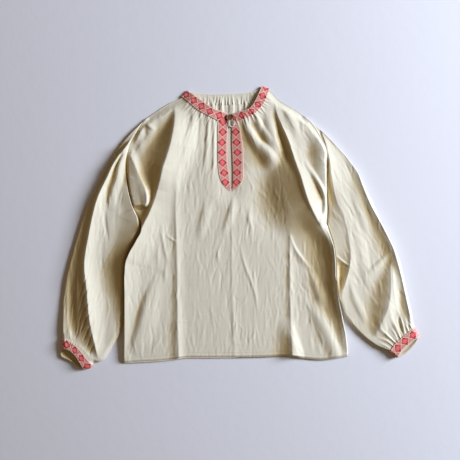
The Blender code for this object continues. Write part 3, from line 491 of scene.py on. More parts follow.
# Front of the shirt: one width of the same cotton, gathered to the neck and slit down its
# middle, then laid down by hand over the back, so that it keeps deep soft folds.
SLIT_FOOT = 378.0
MIDDLE_LEFT = (
    (8, 6), (0, 150), (-1, 300), (-1, 376), (-1.6, 392), (-3.5, 405), (-6, 430), (-6.6, 460),
    (-6.6, 505), (-7.5, 541),
)
MIDDLE_RIGHT = (
    (11, 6), (3, 150), (2.2, 300), (2.4, 376), (2.6, 392), (3, 405), (2.5, 430), (1, 460),
    (0.5, 505), (2, 541),
)
SLIT_LINE = ((-2, 541), (-3, 505), (-3, 430), (0, 378))
NECK_LEFT = ((-93, 590), (-75, 577), (-59, 566), (-37, 551), (-20, 546), (-7.5, 541))
NECK_RIGHT = ((2, 541), (21, 546), (38, 551), (48, 561), (58, 580), (66, 598))
FRONT_FOLDS = (
    ((-226, 466, 1, 5, 10), (-218, 446, 4, 16, 18), (-211, 421, 6, 28, 20), (-206, 400, 7, 38, 22),
     (-199, 375, 7, 44, 24), (-196, 355, 7, 46, 24), (-195, 341, 7, 42, 20),
     (-195, 336, 0, 30, 18)),
    ((-211, 333, -3, 4, 4), (-200, 331, -6, 5, 5), (-189, 335, -5, 4, 4)),
    ((-203, 517, 0, 8, 10), (-202, 503, 4, 13, 16), (-205, 487, 4, 13, 16), (-213, 470, 0, 8, 10)),
    ((-196, 528, 2, 6, 7), (-184, 517, 2.6, 6, 8), (-170, 506, 1, 6, 8)),
    ((-180, 545, 0, 12, 14), (-176, 500, 3, 14, 16), (-196, 470, 3, 12, 14), (-206, 448, 0, 8, 10)),
    ((-82, 550, 0, 8, 10), (-82, 530, 4, 9, 14), (-86, 505, 3, 12, 18), (-94, 470, 2, 16, 22),
     (-104, 430, 0, 18, 20)),
    ((-46, 356, 0, 12, 14), (-55, 325, 2.6, 14, 16), (-64, 290, 2.2, 14, 16),
     (-72, 262, 0, 12, 12)),
    ((6, 362, 0, 8, 12), (0, 330, 2.6, 10, 16), (-9, 300, 2.2, 10, 14), (-18, 272, 0, 8, 10)),
    ((42, 340, 0, 6, 8), (40, 312, 1.8, 6, 10), (38, 286, 0, 6, 8)),
    ((-160, 190, 0, 10, 24), (-176, 150, 3, 13, 32), (-187, 115, 5, 16, 40),
     (-196, 80, 5, 17, 42), (-208, 40, 3.6, 15, 34), (-218, 14, 0, 12, 20)),
    ((78, 550, 0, 8, 14), (82, 526, 3, 14, 18), (89, 502, 7, 26, 19), (96, 478, 9, 36, 19),
     (102, 456, 7, 44, 18), (109, 436, 4, 50, 16), (116, 416, 2, 54, 14), (124, 396, 0, 50, 12)),
    ((138, 442, 0, 60, 80), (143, 425, 4, 76, 80), (149, 401, 8, 88, 80), (156, 376, 9, 94, 80),
     (164, 352, 9, 98, 70), (173, 330, 7, 98, 48), (187, 305, 4, 90, 32), (199, 276, 2, 80, 26),
     (214, 246, 0, 70, 22)),
    ((52, 446, 0, 30, 24), (66, 418, -2.4, 50, 34), (72, 380, -3.4, 60, 40),
     (80, 340, -3.4, 62, 42),
     (94, 300, -2.6, 60, 40), (112, 262, 0, 50, 36)),
    ((188, 520, 1, 24, 10), (199, 490, 8, 36, 12), (206, 458, 13, 42, 10), (209, 430, 14, 42, 8),
     (209, 402, 12, 36, 7), (208, 376, 6, 24, 6), (208, 350, 0, 14, 5)),
    ((172, 342, 0, 46, 20), (182, 327, 4, 46, 16), (194, 308, 8, 44, 12), (208, 288, 8, 42, 9),
     (218, 268, 6, 40, 7), (223, 245, 3, 37, 6), (225, 220, 0, 33, 6)),
    ((-114, 550, 0, 16, 30), (-116, 520, 7, 26, 50), (-119, 500, 11, 34, 56),
     (-125, 475, 13, 44, 60),
     (-135, 446, 12, 52, 60), (-146, 420, 10, 50, 58), (-156, 397, 6, 38, 54),
     (-163, 375, 3, 24, 50),
     (-168, 350, 0, 16, 50)),
    ((-170, 345, 0, 10, 50), (-188, 300, 2.4, 9, 60), (-204, 264, 4, 7, 66),
     (-222, 230, 4.4, 6, 70),
     (-230, 205, 4, 5, 70), (-231, 170, 2, 5, 60), (-231, 140, 0, 5, 50)),
    ((-146, 440, 0, 20, 80), (-157, 385, 1, 14, 105), (-174, 330, 3.4, 10, 115),
     (-191, 296, 4, 8, 125), (-205, 264, 4, 7, 130), (-223, 230, 4, 6, 140),
     (-230, 205, 3.6, 5, 140),
     (-232, 150, 2.6, 4, 130), (-233, 80, 1.4, 4, 120), (-235, 8, 0.6, 4, 110)),
    ((163, 430, 1, 6, 8), (180, 402, 4, 8, 8), (190, 386, 5, 8, 7), (199, 369, 6, 8, 7),
     (205, 352, 6, 9, 7), (206, 337, 6, 9, 7), (202, 318, 5, 8, 8), (196, 303, 2, 8, 8)),
    ((112, 562, 0, 10, 12), (124, 540, 3, 10, 14), (136, 515, 3, 12, 16), (150, 482, 0, 12, 16)),
    ((152, 548, 0, 10, 12), (160, 522, 1.8, 14, 14), (170, 496, 1.8, 16, 14),
     (176, 470, 0, 12, 12)),
    ((176, 196, 0, 12, 14), (184, 172, 3, 14, 16), (196, 140, 4, 15, 16), (202, 108, 0, 12, 14)),
    ((176, 130, 0, 14, 16), (192, 98, 3.4, 20, 20), (209, 64, 4.4, 24, 20), (225, 30, 4, 24, 16),
     (232, 10, 3, 20, 14)),
    ((118, 96, 0, 18, 16), (127, 62, 5, 30, 18), (137, 30, 7, 38, 20), (141, 4, 8, 42, 22)),
)
FRONT_PLEATS = (
    ((-123, 556, 0.6, 8, 26), (-123, 532, 4, 14, 34), (-125, 505, 8, 22, 50),
     (-130, 475, 10, 32, 58), (-138, 446, 12, 42, 60), (-147, 420, 14, 42, 60),
     (-153, 397, 13, 24, 60), (-160, 375, 8, 9, 58), (-166, 355, 8, 8, 56),
     (-177, 325, 10, 12, 54), (-190, 298, 12, 12, 56), (-205, 264, 14, 9, 56),
     (-223, 230, 15, 7, 50), (-230.5, 205, 13, 5, 46), (-232.5, 150, 11, 4, 42),
     (-233.5, 100, 8, 4, 34), (-234.5, 50, 5, 4, 26), (-235.5, 8, 3, 4, 20)),
    ((-118, 425, 0, 10, 12), (-119, 380, 1.4, 12, 18), (-121, 330, 2.4, 13, 20),
     (-119, 270, 3, 14, 20), (-118, 200, 3.2, 14, 20), (-117, 120, 3.6, 15, 21),
     (-116, 60, 4.6, 20, 20), (-114, 4, 5.2, 24, 18)),
    ((-222, 452, 1, 6, 8), (-212, 434, 2.4, 12, 14), (-204, 415, 3.4, 16, 16),
     (-195, 395, 4, 18, 16),
     (-187, 377, 7, 22, 15), (-183, 360, 9, 20, 15), (-183, 346, 9, 18, 13), (-187, 338, 7, 14, 8),
     (-190, 334, 0, 10, 5)),
    ((-148, 300, 0, 8, 10), (-150, 276, 2, 8, 10), (-144, 240, 2, 8, 10), (-138, 215, 0, 6, 8)),
    ((-142, 276, 0, 5, 5), (-130, 266, 2, 5, 5), (-118, 258, 0, 5, 5)),
    ((-156, 262, 0, 6, 8), (-160, 230, 1.6, 7, 10), (-160, 196, 0, 6, 8)),
    ((-143, 210, 0, 6, 8), (-144, 190, 1.6, 7, 10), (-144, 166, 0, 6, 8)),
    ((2, 372, 0, 5, 10), (2, 330, 0.8, 6, 12), (2, 250, 1.4, 6, 14), (2, 160, 1, 6, 14),
     (5, 80, 1.2, 6, 14), (8, 8, 0.8, 6, 12)),
    ((18, 268, 0, 5, 7), (27, 220, 1.2, 6, 9), (43, 176, 1.4, 6, 9), (54, 140, 1.4, 6, 9),
     (59, 96, 0, 6, 9)),
    ((-28, 246, 0, 6, 8), (-29, 230, 1.6, 6, 8), (-28, 212, 0, 6, 8)),
    ((97, 555, 1, 6, 20), (102, 535, 4, 7, 60), (110, 515, 7, 10, 120), (118, 495, 10, 14, 160),
     (126, 474, 11, 18, 180), (134, 450, 13, 24, 190), (141, 425, 15, 60, 190),
     (149, 401, 16, 92, 190), (156, 376, 17, 106, 190), (164, 352, 16, 108, 160),
     (174, 330, 14, 98, 100), (187, 306, 9, 84, 44), (200, 286, 4, 66, 18), (212, 262, 2, 30, 12),
     (217, 235, 0, 20, 12)),
    ((109, 518, 1, 5, 10), (118, 497, 3, 5, 12), (127, 474, 3, 5, 14), (134, 450, 3, 5, 16),
     (142, 425, 3.4, 6, 24), (150, 401, 4, 7, 34), (157, 376, 4.6, 7, 36), (165, 352, 4, 7, 30),
     (175, 330, 2.6, 6, 20), (188, 306, 2, 5, 14), (201, 286, 0, 5, 10)),
    ((195, 308, 0, 48, 9), (208, 288, 4, 50, 8), (218.5, 267, 9, 50, 7), (224, 245, 13, 50, 6),
     (228, 215, 15, 50, 5), (229, 180, 14, 48, 4.5), (234, 140, 12, 42, 4.5),
     (243, 100, 9, 34, 4.5),
     (250, 60, 6, 26, 4.5), (255, 20, 2, 16, 4)),
    ((206, 290, 0, 20, 8), (218.5, 267, 3, 24, 7), (224, 245, 5, 26, 6), (228, 215, 6, 26, 5),
     (229, 180, 6, 24, 4.5), (234, 140, 4.6, 22, 4.5), (243, 100, 3, 18, 4.5),
     (250, 60, 0, 12, 4.5)),
    ((129, 296, 0, 9, 12), (129, 240, 2.6, 10, 14), (129, 170, 3, 11, 16), (130, 110, 3.2, 12, 20),
     (132, 60, 4, 14, 26), (134, 4, 4, 16, 30)),
    ((130, 272, 1, 8, 5), (142, 243, 2.6, 14, 6), (158, 221, 2.4, 14, 6), (172, 202, 1, 10, 6)),
)
SLIT_GATHERS = (
    ((-66, 540, 1, 5, 6), (-66, 505, 1.6, 6, 8), (-70, 455, 0, 7, 9)),
    ((-49, 534, 1, 5, 6), (-51, 500, 2, 5, 7), (-54, 455, 1.6, 7, 8), (-60, 400, 0, 8, 10)),
    ((-37, 524, 1, 4, 4), (-37, 480, 1.8, 5, 5), (-38, 430, 1, 5, 6), (-40, 395, 0, 6, 6)),
    ((31, 528, 1, 6, 8), (37, 508, 4, 12, 12), (49, 488, 6.5, 18, 14), (67, 466, 7.5, 24, 16),
     (86, 446, 6, 28, 16), (102, 424, 0, 28, 14)),
    ((53, 542, 1, 6, 6), (62, 520, 4.4, 12, 9), (73, 498, 3.6, 14, 10), (86, 474, 0, 12, 12)),
)
NECK_BAND_LEFT = ((-106, 577), (-88, 561), (-72, 548), (-52, 537), (-40, 531), (-29, 525))
NECK_BAND_RIGHT = ((9, 520), (28, 528), (48, 537), (61, 549), (74, 566), (84, 592))
FRONT_CREASES = (
    strewn(((-235, 5), (-120, 300)), 190, (22, 70), (0.15, 0.6), (2.2, 4.6), 4, 10, 3)
    + strewn(((-120, 5), (125, 385)), 520, (22, 75), (0.12, 0.5), (1.9, 3.8), 1, 8, 5)
    + strewn(((-120, 5), (125, 385)), 60, (14, 40), (0.2, 0.6), (2.4, 4.4), 25, 25, 6)
    + strewn(((125, 5), (255, 260)), 170, (20, 60), (0.2, 0.7), (2.4, 5), -7, 12, 7)
    + strewn(((-115, 385), (-30, 530)), 120, (24, 70), (0.15, 0.5), (2, 4), 12, 8, 9)
    + strewn(((25, 300), (130, 500)), 70, (24, 60), (0.15, 0.5), (2.4, 5), -22, 10, 11)
    + strewn(((-225, 430), (-130, 560)), 60, (14, 34), (0.2, 0.7), (3, 6), 35, 25, 13)
    + strewn(((110, 430), (210, 560)), 60, (14, 40), (0.2, 0.8), (3, 6), -30, 18, 15)
    + gathered(NECK_BAND_LEFT, -1, 17, (14, 44), (0.5, 1.3), (1.8, 3.2), 10, 17, (0.15, 0.98))
    + gathered(NECK_BAND_RIGHT, -1, 15, (14, 36), (0.5, 1.5), (1.8, 3.2), 10, 19, (0.05, 0.9))
    + gathered(LEFT_EDGE[LEFT_UNDERARM:LEFT_SHOULDER + 1], -1, 24, (8, 18), (0.3, 1.0), (2, 3),
               0, 21)
    + gathered(RIGHT_EDGE[RIGHT_UNDERARM:RIGHT_SHOULDER + 1], 1, 26, (8, 20), (0.3, 1.1), (2, 3),
               0, 23)
)
FRONT_REST = 1.9
BODY_PUFF = 4.5
SLIT_FLATNESS = 0.8
SLIT_REACH = 46.0
SLIT_SEARCH = 60
SIDE_RISE = 3.0
SIDE_SEARCH = 30
HEM_RISE = 5.0
SHOULDER_RISE = 16.0
SHOULDER_SEARCH = 30
ARMHOLE_SEARCH = 40
NECK_STAND = 2.8
SLIT_SAG = 0.5
NECK_REACH = 46.0
NECK_SEARCH = 80
NECK_FLATNESS = 0.55
LEFT_SEAM = (
    (312, 3.4, 5), (340, 3.4, 5), (382, 3.6, 5), (430, 4.4, 6), (470, 6, 12), (502, 3.6, 9),
    (528, 5, 10),
)
RIGHT_SEAM = (
    (300, 3.4, 7), (330, 3.4, 7), (360, 4, 6), (390, 8, 5), (420, 14, 5), (450, 16, 6),
     (474, 14, 8),
    (500, 10, 12), (513, 9, 12), (532, 5, 10),
)
HEM_STITCH = 9.0
HEM_SEARCH = 40
HEM_GROOVE = 0.4
HEM_GROOVE_WIDTH = 2.2
HEM_LEVEL = 0.35
FRONT_COLUMNS = 128
FRONT_ROWS = 330
FRONT_BUNCHING = 0.15
TURN_UNDER = 5
TURN_DROP = 0.8
TURN_BELOW = 1.0


def seam_at(y, left):
    """Height of an armhole seam, and the distance over which it blends into either side."""
    rows, height, blend = np.array(LEFT_SEAM if left else RIGHT_SEAM, dtype=float).T
    return np.interp(y, rows, height), np.interp(y, rows, blend)


def front_height(xy):
    """Upper face of the front: a puffed panel with its folds, on the back at its sides."""
    neck = smooth(1 - distance_to(xy, (NECK_LEFT, NECK_RIGHT), NECK_SEARCH) / NECK_REACH)
    slit = smooth(1 - distance_to(xy, (SLIT_LINE,), SLIT_SEARCH) / SLIT_REACH)
    folds = fold_heights(xy, FRONT_FOLDS) + fold_heights(xy, FRONT_PLEATS, crease)
    inside = BODY_PUFF * (1 - SLIT_FLATNESS * slit) + folds * (1 - NECK_FLATNESS * neck)
    inside = inside + fold_heights(xy, SLIT_GATHERS) + fold_heights(xy, FRONT_CREASES)
    hems = distance_to(xy, (HEM_LEFT, HEM_RIGHT), HEM_SEARCH)
    sides = (LEFT_EDGE[:LEFT_UNDERARM + 1], RIGHT_EDGE[:RIGHT_UNDERARM + 1])
    shoulders = (LEFT_EDGE[LEFT_SHOULDER:], RIGHT_EDGE[RIGHT_SHOULDER:])
    inside = inside * np.sqrt(smooth(distance_to(xy, sides, SIDE_SEARCH) / SIDE_RISE))
    inside = inside * (HEM_LEVEL + (1 - HEM_LEVEL) * smooth(hems / HEM_RISE))
    inside = inside - HEM_GROOVE * ridge(hems - HEM_STITCH, HEM_GROOVE_WIDTH, HEM_GROOVE_WIDTH)
    inside = inside * smooth(distance_to(xy, shoulders, SHOULDER_SEARCH) / SHOULDER_RISE)
    for left, armhole in ((True, LEFT_EDGE[LEFT_UNDERARM:LEFT_SHOULDER + 1]),
                          (False, RIGHT_EDGE[RIGHT_UNDERARM:RIGHT_SHOULDER + 1])):
        seam, blend = seam_at(xy[..., 1], left)
        share = smooth(distance_to(xy, (armhole,), ARMHOLE_SEARCH) / blend)
        inside = inside * share + (seam - FRONT_REST) * (1 - share)
    stand = NECK_STAND * neck * (1 - SLIT_SAG * slit)
    return np.maximum(FRONT_REST + stand + inside, FRONT_REST)


def turned_under(points, rim, inner):
    """Rows that turn a sheet's edge down and back under it: their points and faces."""
    rim, inner = np.array(rim), np.array(inner)
    first = len(points)
    down = points[rim] - (0, 0, TURN_DROP)
    under = points[inner] - (0, 0, TURN_BELOW)
    under[:, 2] = np.minimum(under[:, 2], down[:, 2])
    count = len(rim)
    faces = [(rim[k], rim[k + 1], first + k + 1, first + k) for k in range(count - 1)]
    faces += [(first + k, first + k + 1, first + count + k + 1, first + count + k)
              for k in range(count - 1)]
    return np.vstack((points, down, under)), [tuple(int(v) for v in face) for face in faces]


def bunched(count, share):
    """Steps from 0 to 1, by a share closer together at both ends."""
    even = np.linspace(0, 1, count + 1)
    return (1 - share) * even + share * (0.5 - 0.5 * np.cos(math.pi * even))


s = bunched(FRONT_COLUMNS, FRONT_BUNCHING)
t = np.linspace(0, 1, FRONT_ROWS + 1)
middle = [along(curve_through(table), t) for table in (MIDDLE_LEFT, MIDDLE_RIGHT)]
sides = [along(curve_through(table), t) for table in (LEFT_EDGE, RIGHT_EDGE)]
verts, faces, middles, rims = [], [], [], []
for hem, neck, west, east, edge in (
        (HEM_LEFT, NECK_LEFT, sides[0], middle[0], FRONT_COLUMNS),
        (HEM_RIGHT, NECK_RIGHT, middle[1], sides[1], 0)):
    plan = patch(along(curve_through(hem), s), along(curve_through(neck), s), west, east, s, t)
    first = sum(len(part) for part in verts)
    faces += grid_faces(*plan.shape[:2], first)
    number = first + np.arange(plan[..., 0].size).reshape(plan.shape[:2])
    if edge == 0:
        number = number[:, ::-1]
    slit = number[plan[:, edge, 1] > SLIT_FOOT - 2]
    rims += [(number[0], number[TURN_UNDER]), (number[:, 0], number[:, TURN_UNDER]),
             (slit[:, -1], slit[:, -1 - TURN_UNDER]), (number[-1], number[-1 - TURN_UNDER])]
    middles.append(number[:, -1])
    verts.append(with_height(plan, front_height(plan)).reshape(-1, 3))
verts = np.vstack(verts)
below = [(int(a), int(b)) for a, b in zip(*middles) if verts[a][1] < SLIT_FOOT]
faces += [(a, b, d, c) for (a, b), (c, d) in zip(below, below[1:])]
for rim, inner in rims:
    verts, turned = turned_under(verts, rim, inner)
    faces += turned
front = add_piece("front", verts, faces, cloth, verts[:, :2], painted_shade_of(verts))
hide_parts("front_panel")
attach(front, "root")

# Sleeves: full tubes of the same cotton, set in at dropped armholes and gathered into a
# ribbon at the wrist. They lie on their backs with the fronts full over them.
LEFT_OUTER = (
    (-220, 498), (-250, 460), (-273, 420), (-294, 380), (-314, 340), (-329, 300),
    (-341, 260), (-353, 220), (-363, 180), (-368, 140), (-370, 100), (-371, 60), (-371, 24),
)
LEFT_INNER = ((-237.5, 90), (-242, 62), (-258, 34), (-276, 5), (-287, -3), (-300, -4),
              (-307, -15), (-322, -19))
RIGHT_OUTER = (
    (196, 506), (222, 480), (246, 455), (273, 420), (294, 380), (314, 340),
    (332, 300), (352, 260), (370, 220), (379, 180), (388, 140), (396, 104), (400, 82), (405, 68),
    (413, 53),
)
RIGHT_INNER = ((242, 126), (252, 98), (270, 74), (293, 51), (316, 34), (334, 26), (349, 20),
               (364, 7))
LEFT_CUFF = ((-371, 24), (-361, 26), (-350, 21), (-339, 10), (-331, -3), (-322, -19))
LEFT_CUFF_BACK = ((-371, 24), (-372, 10), (-358, 2), (-344, -6), (-333, -14), (-322, -19))
LEFT_CUFF_TOP = ((-371, 46), (-360, 46), (-348, 42), (-335, 35), (-322, 24), (-311, 11),
                 (-301, -3))
RIGHT_CUFF = ((413, 53), (400, 46), (386, 35), (373, 23), (364, 7))
RIGHT_CUFF_BACK = ((413, 53), (404, 37), (392, 23), (379, 12), (364, 7))
RIGHT_CUFF_TOP = ((401, 78), (388, 63), (372, 50), (358, 37), (349, 21))
LEFT_FULLNESS = ((0, 6.5), (0.15, 7.5), (0.8, 8), (0.93, 11), (1, 12))
RIGHT_FULLNESS = ((0, 7), (0.15, 8), (0.8, 8), (0.93, 11), (1, 12))
LEFT_SLEEVE_FOLDS = (
    ((-221, 478, 3, 5, 8), (-231, 458, 7, 6, 12), (-243, 428, 8, 6, 15), (-249, 400, 7, 6, 16),
     (-258, 375, 5, 7, 18), (-264, 350, 3, 8, 18), (-268, 330, 0, 8, 18)),
    ((-216, 398, 1, 32, 8), (-206, 365, 5, 46, 8), (-190, 335, 7, 62, 8), (-192, 300, 7, 62, 8),
     (-208, 268, 6, 52, 8), (-226, 236, 5, 38, 6), (-235, 205, 4, 30, 5), (-238, 170, 3, 26, 5),
     (-241, 130, 2, 20, 5), (-243, 95, 1, 14, 5), (-245, 70, 0, 8, 5)),
    ((-350, 190, 0, 8, 16), (-350, 150, -3, 10, 18), (-349, 100, -4, 10, 20), (-346, 65, -3, 9, 18),
     (-342, 45, 0, 6, 10)),
    ((-273, 340, 0, 5, 5), (-276, 310, -1.6, 6, 6), (-272, 280, -1.4, 6, 6), (-270, 258, 0, 5, 5)),
)
LEFT_SLEEVE_PLEATS = (
    ((-216, 398, 0, 26, 8), (-206, 365, 3, 40, 8), (-190, 335, 5, 56, 8), (-192, 300, 6, 56, 8),
     (-208, 268, 6, 46, 8), (-226, 236, 5, 34, 6), (-235, 205, 4, 26, 5), (-238, 170, 3, 22, 5),
     (-241, 130, 1.6, 16, 5), (-244, 90, 0, 8, 5)),
    ((-205, 503, 0, 8, 4), (-211, 492, 2, 14, 4), (-222, 474, 7, 15, 4), (-232, 461, 10, 13, 5),
     (-244, 447, 12, 10, 6),
     (-258, 424, 13, 9, 7), (-268, 402, 13, 10, 8), (-278, 382, 13, 12, 10),
     (-288, 360, 13, 15, 20), (-296, 335, 13, 20, 30), (-304, 300, 13, 22, 34),
     (-311, 262, 14, 24, 36), (-317, 225, 15, 26, 38), (-317, 200, 16, 34, 40),
     (-313, 165, 18, 48, 40), (-310, 135, 19, 54, 40), (-307, 100, 18, 54, 38),
     (-303, 72, 15, 48, 34), (-298, 45, 10, 32, 28), (-293, 20, 4, 14, 20), (-290, 4, 0, 8, 10)),
    ((-329, 214, 0, 4, 3), (-334, 180, 1.2, 5, 3), (-336, 120, 1, 5, 3), (-338, 58, 0.6, 4, 3)),
    ((-347, 150, 0, 3, 3), (-349, 110, 0.6, 4, 3), (-352, 62, 0.9, 4, 3)),
    ((-366, 180, 0, 4, 4), (-367, 130, 2.0, 4, 4), (-367, 62, 2.0, 4, 4)),
)
LEFT_SPIKES = (
    ((-330, 138, -1, 3, 3), (-320, 164, -3.4, 3, 3), (-309, 196, 0, 2, 2)),
    ((-331, 108, -1, 3, 3), (-320, 136, -3.6, 3, 3), (-305, 170, 0, 2, 2)),
    ((-331, 84, -1, 3, 3), (-319, 108, -3.8, 3, 3), (-302, 142, 0, 2, 2)),
    ((-328, 64, -1, 3, 3), (-317, 86, -3.8, 3, 3), (-299, 118, 0, 2, 2)),
    ((-322, 46, -1, 3, 3), (-312, 64, -3.4, 3, 3), (-297, 92, 0, 2, 2)),
    ((-315, 30, -1, 2.6, 2.6), (-308, 44, -3, 2.6, 2.6), (-298, 68, 0, 2, 2)),
    ((-309, 16, -1, 2.4, 2.4), (-303, 28, -2.6, 2.4, 2.4), (-294, 46, 0, 2, 2)),
)
RIGHT_SLEEVE_FOLDS = (
    ((214, 430, 0, 12, 44), (222, 400, 2, 18, 46), (231, 366, 3, 26, 52), (238, 340, 3.6, 32, 54),
     (244, 315, 4, 38, 54), (250, 279, 4, 40, 54), (255, 242, 4, 34, 54), (254, 215, 3, 22, 50),
     (250, 190, 0, 14, 34)),
    ((268, 304, 0, 12, 14), (282, 262, 2, 16, 16), (293, 205, 2, 18, 16), (302, 158, 0, 16, 14)),
    ((296, 190, 0, 10, 8), (312, 202, 2.2, 12, 8), (330, 219, 2.6, 12, 8), (347, 236, 0, 8, 6)),
    ((262, 400, 0, 12, 14), (276, 350, 2, 14, 16), (292, 300, 2, 14, 16), (304, 262, 0, 12, 12)),
    ((348, 208, 0, 14, 14), (347, 178, 4, 30, 26), (345, 146, 6, 40, 30), (340, 116, 6, 44, 30),
     (331, 92, 5, 36, 28), (321, 70, 3, 24, 20), (314, 52, 0, 10, 8)),
    ((262, 190, 0, 8, 12), (266, 150, 2, 9, 14), (282, 110, 2, 10, 14), (296, 80, 0, 8, 12)),
    ((240, 216, 0, 5, 7), (241, 200, -5, 8, 9), (241, 175, -6, 8, 9), (240, 155, 0, 4, 5)),
    ((368, 104, 0, 5, 5), (367, 90, -3, 6, 6), (371, 72, -2.4, 5, 5), (374, 58, 0, 4, 4)),
)
RIGHT_SLEEVE_PLEATS = (
    ((201, 503, 2, 6, 6), (222, 482, 3, 9, 9), (243, 460, 3, 11, 11), (263, 434, 3, 14, 12),
     (277, 410, 4, 18, 12), (288, 380, 6, 24, 11), (305, 340, 7, 26, 10), (327, 300, 7, 26, 9),
     (350, 256, 8, 28, 8), (363, 215, 8, 28, 8), (372, 180, 8, 26, 8), (380, 145, 6, 19, 8),
     (389, 105, 4, 12, 7), (395, 82, 0, 8, 6)),
    ((199, 497, 2, 5, 18), (205, 480, 5, 5, 28), (209, 464, 8, 5, 36), (214, 437, 11, 4, 42),
     (218, 403, 8, 5, 46), (226, 366, 3.4, 9, 46), (236, 340, 2, 12, 40), (246, 315, 2, 12, 34),
     (255, 279, 2.2, 12, 30), (260, 242, 2.6, 12, 28), (260, 218, 4, 10, 30), (256, 194, 5, 9, 30),
     (249, 169, 5, 7, 30), (243, 152, 3, 5, 26), (243, 135, 1, 5, 18)),
    ((232, 228, 2, 4, 5), (240, 220, 3.4, 4, 5), (248, 214, 3.4, 4, 5), (257, 208, 2, 4, 5)),
    ((348, 208, 2, 10, 18), (348, 182, 5, 24, 26), (347, 150, 6.4, 36, 38), (342, 120, 6.4, 40, 46),
     (333, 95, 4.6, 32, 52), (323, 72, 2.8, 20, 40), (315, 54, 0, 8, 8)),
    ((353, 206, 0, 5, 5), (353, 180, 1.6, 6, 7), (355, 150, 2, 8, 7), (361, 118, 0, 6, 6)),
)
RIGHT_SPIKES = (
    ((351, 24, 1, 2.4, 3), (338, 33, 1.2, 3, 5), (318, 42, 0, 4, 6)),
    ((354, 33, 1.4, 2.4, 3), (340, 44, 1.8, 3, 5), (320, 52, 0, 4, 6)),
    ((358, 40, 1.6, 2.4, 3.6), (342, 56, 2.4, 3, 6), (321, 74, 0, 5, 7)),
    ((364, 46, 1, 2.4, 3), (356, 62, 1.2, 3, 5), (348, 74, 0, 4, 5)),
    ((370, 51, 1.4, 2.4, 4), (361, 72, 1.8, 4, 8), (350, 96, 1.2, 5, 9), (343, 122, 0, 6, 8)),
    ((379, 60, 1.4, 2.4, 4), (376, 76, 1.8, 3, 8), (368, 98, 1.2, 4, 8), (360, 124, 0, 5, 7)),
    ((386, 66, 1, 2.4, 3), (383, 80, 1.2, 3, 5), (378, 104, 0, 4, 6)),
    ((393, 71, 0.8, 2.4, 3), (391, 84, 1, 3, 4), (387, 108, 0, 3, 5)),
)
LEFT_SLEEVE_CREASES = (
    gathered(LEFT_CUFF_TOP[::-1], 1, 30, (5, 20), (0.2, 0.9), (0.9, 1.8), 20, 31)
    + gathered(LEFT_CUFF_TOP[::-1], 1, 16, (24, 80), (0.3, 1.0), (1.6, 2.8), 30, 32, (0.05, 0.9))
    + strewn(((-365, 60), (-300, 330)), 110, (24, 80), (0.25, 0.8), (2, 4.5), 8, 6, 33)
    + strewn(((-300, 20), (-235, 420)), 90, (20, 70), (0.2, 0.7), (2.4, 5), 6, 9, 35)
)
RIGHT_SLEEVE_CREASES = (
    gathered(RIGHT_CUFF_TOP[::-1], 1, 20, (8, 26), (0.5, 1.3), (1.2, 2.2), -20, 37)
    + strewn(((245, 60), (380, 330)), 150, (20, 60), (0.2, 0.6), (2.4, 5), -22, 12, 39)
    + strewn(((215, 300), (300, 480)), 70, (20, 60), (0.2, 0.6), (2.4, 5), -24, 10, 41)
)
SLEEVE_EDGE = 4.0
SLEEVE_LEAST = 3.0
SLEEVE_RISE = 9.0
SLEEVE_BELOW_RISE = 2.6
SLEEVE_ACROSS = 96
SLEEVE_BUNCHING = 0.35
SLEEVE_BELOW = 30
SLEEVE_BELOW_INSET = 1.6
SLEEVE_BELOW_SEAT = 0.1
SLEEVE_ROWS = 300
SLEEVE_WALL = 0.7
CUFF_REACH = 48.0
CUFF_BAND_ROWS = 13
CUFF_LIFT_REACH = 16.0
CUFF_CURL = 3.6
CUFF_CURL_REACH = 6.0
SEAM_GAP = 0.3
SIDE_JOIN = 6.0
SLEEVE_GRAIN = {"left": 9, "right": -22}
CUFF_BAND = 23.0


def moved_out(curve, distance):
    """Curve moved to its left by a distance, as seen along it."""
    step = np.gradient(curve, axis=0)
    step /= np.linalg.norm(step, axis=1, keepdims=True)
    return curve + distance * np.column_stack((-step[:, 1], step[:, 0]))


def sleeve_edges(table, underarm, shoulder, outer, inner, out):
    """Armhole and both long edges of a sleeve, from shoulder to cuff."""
    body = moved_out(curve_through(table), out * SEAM_GAP)
    armhole = body[underarm * CURVE_STEPS:shoulder * CURVE_STEPS + 1][::-1]
    side = body[:underarm * CURVE_STEPS + 1][::-1]
    side = side[side[:, 1] > inner[0][1] + SIDE_JOIN]
    inner_edge = np.vstack((side, curve_through((tuple(side[-1]),) + inner)[1:]))
    outer_edge = curve_through((tuple(armhole[0]),) + outer)
    rows = np.arange(SLEEVE_ROWS + 1)
    ends = []
    for edge in (outer_edge, inner_edge):
        run = lengths(edge)[-1]
        ends.append(at_length(edge, np.interp(rows, (0, SLEEVE_ROWS - CUFF_BAND_ROWS, SLEEVE_ROWS),
                                              (0, run - CUFF_BAND, run))))
    return armhole, *ends


def sleeve_plan(edges, cuff, across):
    """Plan of a sleeve from armhole to cuff, with its rows' shares of its length."""
    armhole, outer, inner = edges
    t = np.mean([lengths(edge) / lengths(edge)[-1] for edge in (outer, inner)], axis=0)
    return patch(along(armhole, across), along(curve_through(cuff), across), outer, inner,
                 across, t), t


